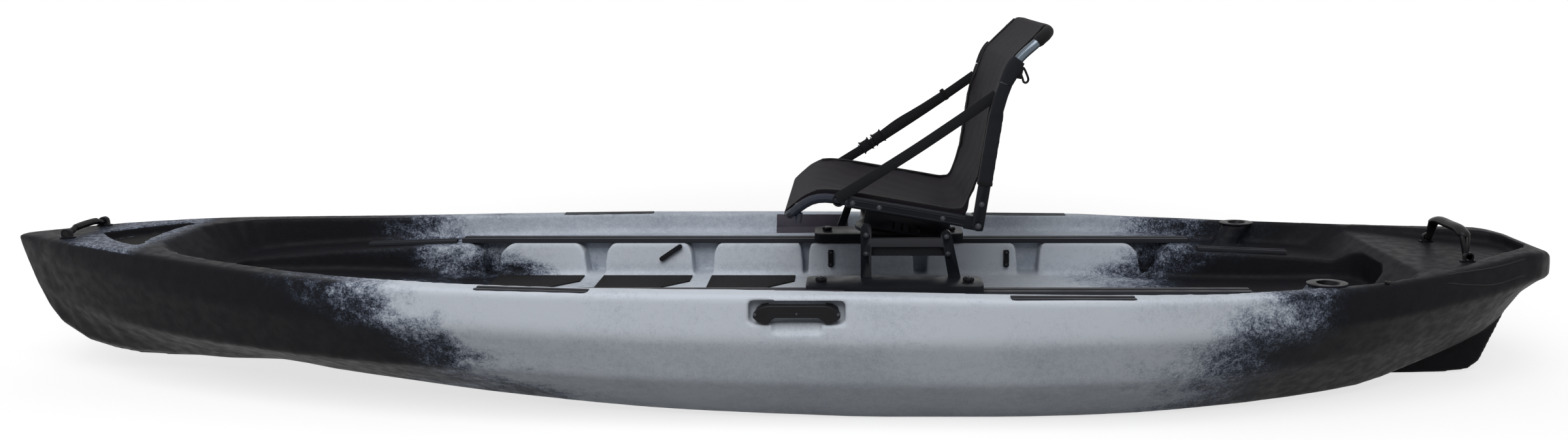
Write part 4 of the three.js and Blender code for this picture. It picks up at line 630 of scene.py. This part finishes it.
def seat_cloth():
    count, half_columns = 190, 22
    line = spline([(x, 0.0, z, w, s) for x, z, w, s in cloth_rows], count)
    shares = [math.sin(math.pi / 2 * (k / half_columns)) ** 0.9 for k in range(half_columns + 1)]
    across = [-s for s in reversed(shares[1:])] + shares
    fall = [0.0025, 0.0075, 0.013, 0.019]
    rings = []
    for i, (x, _, z, half, sag) in enumerate(line):
        a, b = line[max(0, i - 1)], line[min(count - 1, i + 1)]
        tangent = Vector((b[0] - a[0], 0, b[2] - a[2])).normalized()
        inward = Vector((tangent.z, 0, -tangent.x))
        ring = []
        for s in across:
            y = s * half
            drop = sag * (1 - abs(s) ** 2.4)
            ripple = 0.0009 * math.sin(i * 0.21 + y * 31) * math.sin(y * 47 + 1.3) * min(1.0, sag * 90)
            pull = 0.0011 * math.sin(i * 0.9) * max(0.0, abs(s) - 0.86) / 0.14 * min(1.0, sag * 90)
            ring.append(Vector((x, y, z)) + inward * (drop + ripple + pull))
        over_rails = min(1.0, max(0.0, (x - 0.03) / 0.05)) * min(1.0, max(0.0, (0.44 - x) / 0.02))
        at_head = min(1.0, max(0.0, (z - 0.80) / 0.025)) * min(1.0, max(0.0, (0.592 - x) / 0.02))
        turn_down = over_rails if z < 0.55 else 0.55 * at_head
        for depth in fall:
            shift = inward * (depth * turn_down)
            out = 0.0009 * (1 - turn_down) * depth / fall[-1]
            ring.insert(0, Vector((x, -half - out, z)) + shift)
            ring.append(Vector((x, half + out, z)) + shift)
        rings.append(ring)
    obj = skin("seat_cloth", rings, SLING, None, around=False)
    thick = obj.modifiers.new("thick", "SOLIDIFY")
    thick.thickness = CLOTH
    thick.offset = 1 if obj.data.polygons[len(obj.data.polygons) * 2 // 5].normal.z < 0 else -1
    applied(obj)
    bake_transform(obj)
    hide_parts("seat_sling", "sling_bend", "back_sling")
    return line


def hem(rows):
    """Flat doubled edge along both sides of the cloth."""
    for side, word in SIDES:
        path = [Vector((x, side * (half - HEM_WIDTH / 2), z)) for x, _, z, half, _ in rows]
        obj = swept(f"cloth_hem_{word}", path, slab(HEM_WIDTH, 0.0044, 0.0019, 2), BINDING, None,
                    side=(0, 1, 0))
        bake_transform(obj)


hem(seat_cloth()[HEM_ROWS])


# Back: sleeves on the uprights, and the head tube with its wrap, sleeves and loops

def on_upright(share):
    return in_back(0.084 * share, 0.6 * share)


def upright_sleeve(side, word):
    places = [on_upright(0.362 + 0.638 * k / 34) for k in range(35)]
    places += [in_back(a, u) for a, u in ((0.0935, 0.64), (0.1045, 0.68), (0.1160, 0.715), (0.1235, 0.736))]
    path = [(x, side * UPRIGHT_Y, z) for x, z in places]

    def size(share):
        swell = 1 + 0.018 * math.sin(share * 41 + side) + 0.012 * math.sin(share * 97)
        top = min(1.0, max(0.0, (share - 0.80) / 0.08))
        return (swell * (1 - 0.10 * top), swell * (1 + 0.24 * top))

    obj = swept(f"upright_sleeve_{word}", path, slab(0.0325, 0.0205, 0.005, 3), SLEEVE, "seat_back",
                side=(1, 0, 0), size=size)
    band = [(on_upright(s)[0], side * UPRIGHT_Y, on_upright(s)[1]) for s in (0.355, 0.362, 0.378, 0.385)]
    obj = swept(f"sleeve_band_{word}", band, slab(0.0345, 0.0222, 0.005, 3), BINDING, "seat_back",
                side=(1, 0, 0), size=lambda t: (0.97, 0.97) if t in (0, 1) else (1, 1))


def head_path(count):
    half = [(in_back(a, u)[0], out * UPRIGHT_Y, in_back(a, u)[1]) for a, u, out in (
        (0.0851, 0.6065, 1), (0.0965, 0.66, 1), (0.124, 0.74, 1), (0.184, 0.855, 1), (0.278, 0.945, 1),
        (0.33, 0.987, 0.93), (0.343, 0.998, 0.78), (0.343, 0.998, 0.3))]
    return spline(half + [(x, -y, z) for x, y, z in reversed(half)], count)


def head():
    path = head_path(120)
    tube = swept("head_tube", path, circle(0.011, 22), BRIGHT, "seat_back")
    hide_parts("back_head_frame")
    top = [p for p in path if p[0] > 0.578]
    wrap = swept("head_wrap", top, circle(0.0138, 20), BINDING, "seat_back",
                 size=lambda t: (domed(t, 0.86, 0.02) * (1 + 0.014 * math.sin(t * 160)),) * 2)
    for side, word in SIDES:
        low = [p for p in path if 0.768 <= p[2] <= 0.828 and p[1] * side > 0]

        def belly(share):
            t = 1 - share if side > 0 else share
            return (0.93 + 0.16 * math.sin(math.pi * t ** 0.8), 1.0)

        sleeve = swept(f"head_sleeve_{word}", low, slab(0.034, 0.029, 0.0115, 4), SLEEVE, "seat_back",
                       side=(1, 0, 0), size=belly)
        y = side * UPRIGHT_Y
        tab = [(0.533, y, 0.796), (0.541, y, 0.7955), (0.549, y, 0.794)]
        tab = swept(f"loop_tab_{word}", spline(tab, 8), slab(0.024, 0.009, 0.003, 2), WEBBING, "seat_back",
                    side=(0, 0, 1))
        ring = [(x, y, z) for x, z in (
            (0.5450, 0.8065), (0.5500, 0.8075), (0.5540, 0.8040), (0.5620, 0.7860), (0.5625, 0.7790),
            (0.5585, 0.7745), (0.5530, 0.7760), (0.5500, 0.7840), (0.5445, 0.7990), (0.5450, 0.8065))]
        ring = swept(f"loop_ring_{word}", spline(ring, 44), circle(0.0027, 10), GLOSSY, "seat_back",
                     caps=False)


for side, word in SIDES:
    upright_sleeve(side, word)
head()


# Side straps, with the slack end and the buckles of the starboard one

STRAP_Y = 0.2492
SLACK_Y = 0.2506
BUCKLE_Y = 0.2516
STRAP_FOOT = Vector((0.1352, 0, 0.5092))
STRAP_HEAD = Vector((0.4941, 0, 0.7470))
strap_way = STRAP_HEAD - STRAP_FOOT
strap_up = Vector((-strap_way.z, 0, strap_way.x)).normalized()


def strap_point(share, y, up=0.0):
    return STRAP_FOOT + strap_way * share + strap_up * up + Vector((0, y, 0))


def strap_piece(name, path, profile, material, side=None, node=None, size=None):
    obj = swept(name, path, profile, material, None, side=side or strap_up, size=size)
    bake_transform(obj)
    if node:
        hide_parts(node)
    return obj


def straps():
    web = slab(0.0245, 0.0018, 0.0007, 1)
    for side, word in SIDES:
        y = side * STRAP_Y
        sag = [0.0042 * math.sin(math.pi * k / 40) for k in range(41)]
        run = [strap_point(k / 40, y + side * 0.0006 * math.sin(k * 0.4), -sag[k]) for k in range(41)]
        strap_piece(f"side_strap_{word}_web", run, web, WEBBING, node=f"side_strap_{word}")
        foot = round_bar((-0.1305, 0.0), 0.0133, (60, 20, -30, -80, -130, -180, -230, -270, -300), in_pan)
        foot = swept(f"strap_foot_{word}", spline([(x, side * RAIL_Y, z) for x, z in foot], 30),
                     slab(0.0250, 0.0030, 0.0012, 1), WEBBING, "seat", side=(0, 1, 0))


def buckle(name, share, y):
    """A moulded body with wider ends and three rungs, and a bright pin below it, round the strap."""
    def width(t):
        ear = max(0.0, math.cos(math.tau * t)) ** 2
        return (0.80 + 0.20 * ear, domed(t, 0.5, 0.08))

    run = [strap_point(share - 0.034 + 0.068 * k / 16, y - 0.0020) for k in range(17)]
    parts = [swept(f"{name}_body", run, slab(0.0385, 0.0095, 0.0032, 3), GLOSSY, None,
                   side=strap_up, size=width)]
    for k, d in enumerate((-0.017, 0.0, 0.017)):
        rung = [strap_point(share + d, y + 0.0038, up) for up in (-0.0118, -0.006, 0.0, 0.006, 0.0118)]
        parts.append(swept(f"{name}_rung{k}", rung, circle(0.0015, 10), GLOSSY, None))
    obj = joined(name, parts)
    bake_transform(obj)
    pin = [strap_point(share - 0.0415, y, up) for up in (-0.0128, -0.006, 0.0, 0.006, 0.0128)]
    strap_piece(f"{name}_pin", pin, circle(0.0018, 10), PIN, side=(0, 1, 0))


def buckled_end():
    buckle("strap_buckle_lower", 0.196, BUCKLE_Y)
    buckle("strap_buckle_upper", 0.286, BUCKLE_Y)
    slack = [(0.272, 0.0008, 0.0), (0.31, 0.0016, 0.0010), (0.36, 0.0018, 0.0026), (0.42, 0.0020, 0.0042),
             (0.48, 0.0020, 0.0040), (0.54, 0.0018, 0.0026), (0.62, 0.0014, 0.0012), (0.70, 0.0012, 0.0006),
             (0.775, 0.0012, 0.0004)]
    path = [strap_point(s, SLACK_Y + out, up) for s, out, up in slack]
    strap_piece("strap_slack", spline(path, 60), slab(0.0215, 0.0017, 0.0007, 1), WEBBING)
    keeper = [strap_point(s, 0.2504, 0) for s in (0.764, 0.769, 0.787, 0.792)]
    strap_piece("strap_end_fold", keeper, slab(0.0330, 0.0062, 0.0024, 2), BINDING,
                size=lambda t: (0.92, 0.8) if t in (0, 1) else (1, 1))


straps()
buckled_end()


# Seat frame and base

def frame_parts():
    for name in ("slide_beam_port", "slide_beam_starboard", "leg_frame_port", "leg_frame_starboard",
                 "base_plate", "tilt_bracket", "seat_rail_port", "seat_rail_starboard", "cross_bar_front",
                 "cross_bar_rear", "swivel_lever", "back_upright_port", "back_upright_starboard"):
        eased(name, METAL, 0.0013)
    nodes["seat_front_frame"].data.materials[0] = BENT
    for side, word in SIDES:
        out = (0, side, 0)
        face = RAIL_Y + 0.012
        rail = [pan_place(a, 0.0, side * face) for a in (-0.036, 0.112, -0.098)]
        socket_heads(f"rail_screws_{word}", rail, out, 0.0046, 0.0032, STEEL, "seat")
        for up in (0.0062, -0.0070):
            path = [pan_place(-0.106 + 0.27 * k / 12, up, side * face) for k in range(13)]
            level = "upper" if up > 0 else "lower"
            swept(f"rail_rib_{word}_{level}", path, circle(0.0011, 8), METAL, "seat",
                  size=rounded_ends(0.4, 0.02))
        x, z = in_back(0.016, 0.114)
        upright = [(x, side * (UPRIGHT_Y + 0.008), z)]
        socket_heads(f"upright_screw_{word}", upright, out, 0.0048, 0.0034, STEEL, "seat_back")
        hinge = [(HINGE[0], side * HINGE_FACE_Y, HINGE[1])]
        socket_heads(f"hinge_screw_{word}", hinge, out, 0.0052, 0.0026, STEEL, "seat")
        legs = [(-0.0655, 0.421), (0.1205, 0.4175), (-0.0655, 0.376), (0.1245, 0.376)]
        legs = [(PAN_MIDDLE[0] + x, side * LEG_FACE_Y, z) for x, z in legs]
        socket_heads(f"leg_screws_{word}", legs, out, 0.0045, 0.003, STEEL, "seat_base")


def knobs():
    def star(turn):
        return 0.12 * (math.cos(5 * turn) - 1)

    body = [(0.0100, 0.0), (0.0132, 0.0008), (0.0140, 0.0024), (0.0140, 0.0066), (0.0130, 0.0086),
            (0.0104, 0.0097), (0.0072, 0.0100), (0.0066, 0.0094)]
    bolt = [(0.0062, 0.0086), (0.0060, 0.0100), (0.0052, 0.0106), (0.0030, 0.0106), (0.0028, 0.0084)]
    for name in [n for n in nodes if n.startswith("clamp_knob")]:
        low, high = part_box(name)
        place = ((low.x + high.x) / 2, (low.y + high.y) / 2, low.z)
        rides = nodes[name]["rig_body"]
        knob = turned(name + "_grip", body, place, (0, 0, 1), PLASTIC, rides, 60, star)
        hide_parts(name)
        turned(name + "_bolt", bolt, place, (0, 0, 1), STEEL, rides, 24)


# Fittings of the hull

tree = BVHTree.FromObject(hull, bpy.context.evaluated_depsgraph_get())


def on_deck(x, y):
    """Height of the hull's top at a place, found from above it."""
    return tree.ray_cast(Vector((x, y, 1.0)), Vector((0, 0, -1)))[0].z


def side_grips():
    for side, word in SIDES:
        node = f"side_handle_{word}"
        low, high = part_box(node)
        face = side * max(abs(low.y), abs(high.y))
        mid = (low.x + high.x) / 2
        below = [(-0.058, -0.02), (0.058, -0.02), (0.058, 0.004),
                 (0.047, 0.0135), (-0.047, 0.0135), (-0.058, 0.004)]
        rings = [[(mid + a, y, low.z + up) for a, up in below] for y in (0.0, side * 0.6)]
        moulded(node, node + "_grip", 0.0016, 4, 60000, GRIP, skin("finger_room", rings, GRIP, None))
        z = 0.2985
        crease = [(mid + s * 0.0585, face - side * 0.0003, z) for s in [k / 10 - 1 for k in range(21)]]
        swept(f"grip_crease_{word}", crease, circle(0.0011, 8), GLOSSY, "hull", size=rounded_ends(0.3, 0.04))
        button = [(mid, face - side * 0.0006, z)]
        socket_heads(f"grip_button_{word}", button, (0, side, 0), 0.0026, 0.0016, STEEL, "hull")
        for end in (-1, 1):
            ribs = []
            for k in range(4):
                x = mid + end * (0.069 + k * 0.0046)
                rib = [(x + d * 0.0022, face - side * 0.0004, z + d * 0.0066) for d in (-1, 0, 1)]
                ribs.append(swept(f"rib{word}{end}{k}", rib, circle(0.0009, 8), GRIP, None))
            joined(f"grip_ribs_{word}_{'fore' if end < 0 else 'aft'}", ribs, "hull")
        screws = [(mid + end * 0.0895, face - side * 0.0007, z - 0.0015) for end in (-1, 1)]
        socket_heads(f"grip_screws_{word}", screws, (0, side, 0), 0.0033, 0.0018, STEEL, "hull")


def end_handles():
    x0, z0 = -1.765, 0.3864
    rows = [(1.08, 0), (0.95, 0), (0.84, 0), (0.7, 0.35), (0.5, 0.85), (0, 1)]
    half = [(x0, out * 0.070, z0 + up * 0.008) for out, up in rows]
    path = spline(half + [(x, -y, z) for x, y, z in reversed(half[:-1])], 90)
    rides = nodes["bow_handle"]["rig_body"]

    def ribbed(t):
        if 0.24 < t < 0.76:
            r = 1.02 + 0.055 * math.sin((t - 0.24) / 0.52 * math.tau * 13)
        else:
            r = 0.84 if 0.20 < t < 0.80 else 0.93
        return (r, r)

    bow = swept("bow_handle_grip", path, circle(0.008, 18), GRIP, rides, size=ribbed)
    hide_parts("bow_handle")
    x0, z0 = 1.675, 0.3353
    rows = [(1.055, 0, 0), (0.98, 0, 0), (0.93, 0, 0), (0.885, 0, 0), (0.85, 0.14, 0.2), (0.81, 0.45, 0.6),
            (0.7, 0.84, 1), (0.45, 0.99, 1), (0, 1, 1)]
    rides = nodes["stern_handle"]["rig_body"]
    for strand in (-1, 1):
        half = [(x0 + strand * spread * 0.0072, out * 0.104, z0 + up * 0.058) for out, up, spread in rows]
        path = spline(half + [(x, -y, z) for x, y, z in reversed(half[:-1])], 110)
        obj = swept(f"stern_strand_{'fore' if strand < 0 else 'aft'}", path, circle(0.0064, 14), GRIP, rides)
        if strand < 0:
            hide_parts("stern_handle")
    half = [(x0, out * 0.104, z0 + up * 0.058) for out, up, _ in rows[6:]]
    half = [(x0, 0.0765, z0 + 0.0440), *half]
    path = spline(half + [(x, -y, z) for x, y, z in reversed(half[:-1])], 60)

    def rippled(t):
        end = domed(t, 0.78, 0.05)
        return (1.45 * end, end * (1 + 0.012 * math.sin(t * 90)))

    hose = swept("stern_handle_hose", path, circle(0.0105, 20), GRIP, rides, side=(1, 0, 0), size=rippled)


def small_fittings():
    for name in nodes:
        if name.startswith("pad_eye") or name == "paddle_clip":
            moulded(name, name + "_moulding", 0.0011, 3, 12000, PLASTIC)
        # Handle backings take the dark brownish painted shade.
        elif name.startswith("handle_backing"):
            eased(name, BACKING_SHADE, 0.001)
        elif name.startswith("floor_pad") or name == "bow_recess_mat":
            eased(name, PAD, 0.0014)
        elif name.startswith(("rod_holder", "bow_handle_foot", "stern_handle_foot")):
            eased(name, GLOSSY, 0.0012)
        elif "track" in name:
            eased(name, TRACK, 0.0006)
    low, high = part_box("drain_plug")
    place = ((low.x + high.x) / 2, (low.y + high.y) / 2, low.z)
    cap = [(0.0062, 0), (0.0066, 0.0006), (0.0067, 0.003), (0.006, 0.0039), (0.0035, 0.004),
           (0.0033, 0.0028), (0.0004, 0.0028)]

    def knurl(turn):
        return 0.035 * math.sin(turn * 12)

    plug = turned("drain_plug_cap", cap, place, (0, 0, 1), RUBBER, "hull", 60, knurl)
    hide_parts("drain_plug")


def pad_eye_ends():
    """Round feet with a screw at both ends of each pad eye."""
    for name in [n for n in nodes if n.startswith("pad_eye")]:
        obj = nodes[name]
        inward = -1 if (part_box(name)[0].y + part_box(name)[1].y) > 0 else 1
        face = max(obj.data.polygons, key=lambda f: f.area * (f.normal.y * inward > 0.3))
        corners = [obj.data.vertices[i].co for i in face.vertices]
        edges = [b - a for a, b in zip(corners, corners[1:] + corners[:1])]
        way = sorted(edges, key=lambda e: e.length)[1].normalized()
        spread = [v.co.dot(way) for v in obj.data.vertices]
        middle = (max(spread) + min(spread)) / 2
        half = (max(spread) - min(spread)) / 2
        centre = sum((v.co for v in obj.data.vertices), Vector()) / len(obj.data.vertices)
        centre += face.normal * (face.center - centre).dot(face.normal)
        rim = [(0.0072, -0.0062), (0.0078, -0.0040), (0.0078, -0.0006), (0.0066, 0.0012), (0.0042, 0.0018)]
        places = [centre + way * (middle - centre.dot(way) + end * (half - 0.0062)) for end in (-1, 1)]
        feet = [turned(f"{name}_foot{k}", rim, place, face.normal, PLASTIC, None, 26)
                for k, place in enumerate(places)]
        joined(name + "_feet", feet, "hull")
        places = [place + face.normal * 0.0015 for place in places]
        socket_heads(name + "_screws", places, face.normal, 0.0026, 0.0018, STEEL, "hull")


def track_screws():
    rim = [(0.0033, 0.0), (0.0033, 0.0002), (0.0030, 0.0003), (0.0018, 0.0003), (0.0006, -0.0006)]
    for side, word in SIDES:
        heads = [turned(f"screw{k}", rim, (-0.86 + 0.2 * k, side * 0.262, 0.2876), (0, 0, 1), STEEL, None, 12)
                 for k in range(10)]
        joined(f"track_screws_{word}", heads, "hull")


def stern_trim():
    for side, word in SIDES:
        for k, shift in enumerate((0.0, 0.0085)):
            path = []
            for s in range(25):
                t = s / 24
                x = 1.537 + (1.782 - 1.537) * t
                y = side * (0.265 + (0.160 - 0.265) * t + 0.004 * math.sin(math.pi * t) + shift)
                path.append((x, y, on_deck(x, y) + 0.0004))
            swept(f"stern_trim_{word}_{k}", path, circle(0.0019, 8, 0.6), RUBBER, "hull",
                  size=rounded_ends(0.2, 0.05))


frame_parts()
knobs()
side_grips()
end_handles()
small_fittings()
pad_eye_ends()
track_screws()
stern_trim()


# Camera, light and floor

def camera():
    data = bpy.data.cameras.new("camera")
    data.lens = 25.785
    data.sensor_width = 36
    data.shift_x = -0.0478
    data.clip_end = 60
    obj = bpy.data.objects.new("camera", data)
    obj.location = (0.186, -2.764, 1.017)
    obj.rotation_euler = (math.radians(77.5), 0, 0)
    scene.collection.objects.link(obj)
    scene.camera = obj


def area(name, place, target, size, power, tall=None):
    data = bpy.data.lights.new(name, "AREA")
    data.shape = "RECTANGLE"
    data.size = size
    data.size_y = tall or size
    data.energy = power
    obj = bpy.data.objects.new(name, data)
    obj.location = place
    obj.rotation_euler = (Vector(target) - Vector(place)).to_track_quat("-Z", "Y").to_euler()
    scene.collection.objects.link(obj)


def backdrop_rays(tree):
    """One where the camera, a gloss or glass looks at the surroundings, and nought for other rays."""
    path = tree.nodes.new("ShaderNodeLightPath")
    total = path.outputs["Is Camera Ray"]
    for key in ("Is Glossy Ray", "Is Transmission Ray"):
        more = tree.nodes.new("ShaderNodeMath")
        more.operation = "MAXIMUM"
        tree.links.new(total, more.inputs[0])
        tree.links.new(path.outputs[key], more.inputs[1])
        total = more.outputs[0]
    return total


def ranged(tree, factor, low, high):
    node = tree.nodes.new("ShaderNodeMapRange")
    node.inputs["To Min"].default_value = low
    node.inputs["To Max"].default_value = high
    tree.links.new(factor, node.inputs["Value"])
    return node.outputs[0]


def surroundings():
    mat = bpy.data.materials.new("floor")
    mat.use_nodes = True
    tree = mat.node_tree
    shader = tree.nodes["Principled BSDF"]
    shader.inputs["Roughness"].default_value = 1.0
    shader.inputs["Specular IOR Level"].default_value = 0.0
    seen = backdrop_rays(tree)
    tree.links.new(ranged(tree, seen, 0.26, 0.40), shader.inputs["Base Color"])
    shader.inputs["Emission Color"].default_value = (1, 1, 1, 1)
    place = tree.nodes.new("ShaderNodeTexCoord")
    away = tree.nodes.new("ShaderNodeVectorMath")
    away.operation = "LENGTH"
    tree.links.new(place.outputs["Object"], away.inputs[0])
    glow = tree.nodes.new("ShaderNodeMapRange")
    for key, value in (("From Min", 1.9), ("From Max", 4.5), ("To Min", 0.72), ("To Max", 1.0)):
        glow.inputs[key].default_value = value
    tree.links.new(away.outputs["Value"], glow.inputs["Value"])
    lit = tree.nodes.new("ShaderNodeMath")
    lit.operation = "MULTIPLY"
    tree.links.new(glow.outputs[0], lit.inputs[0])
    tree.links.new(seen, lit.inputs[1])
    tree.links.new(lit.outputs[0], shader.inputs["Emission Strength"])
    mesh = bpy.data.meshes.new("floor")
    mesh.from_pydata([(-30, -30, 0), (30, -30, 0), (30, 30, 0), (-30, 30, 0)], [], [(0, 1, 2, 3)])
    mesh.materials.append(mat)
    floor = bpy.data.objects.new("floor", mesh)
    floor.location.z = -0.001
    scene.collection.objects.link(floor)
    world = bpy.data.worlds.new("world")
    scene.world = world
    world.use_nodes = True
    tree = world.node_tree
    back = tree.nodes["Background"]
    tree.links.new(ranged(tree, backdrop_rays(tree), 0.24, 1.0), back.inputs["Strength"])
    back.inputs["Color"].default_value = (1, 1, 1, 1)
    area("key", (-0.4, -3.1, 4.0), (0, 0, 0.2), 3.4, 172)
    area("top", (0.2, 0.0, 3.8), (0.2, 0, 0.2), 5.0, 16, 2.4)
    scene.view_settings.view_transform = "Standard"


camera()
surroundings()
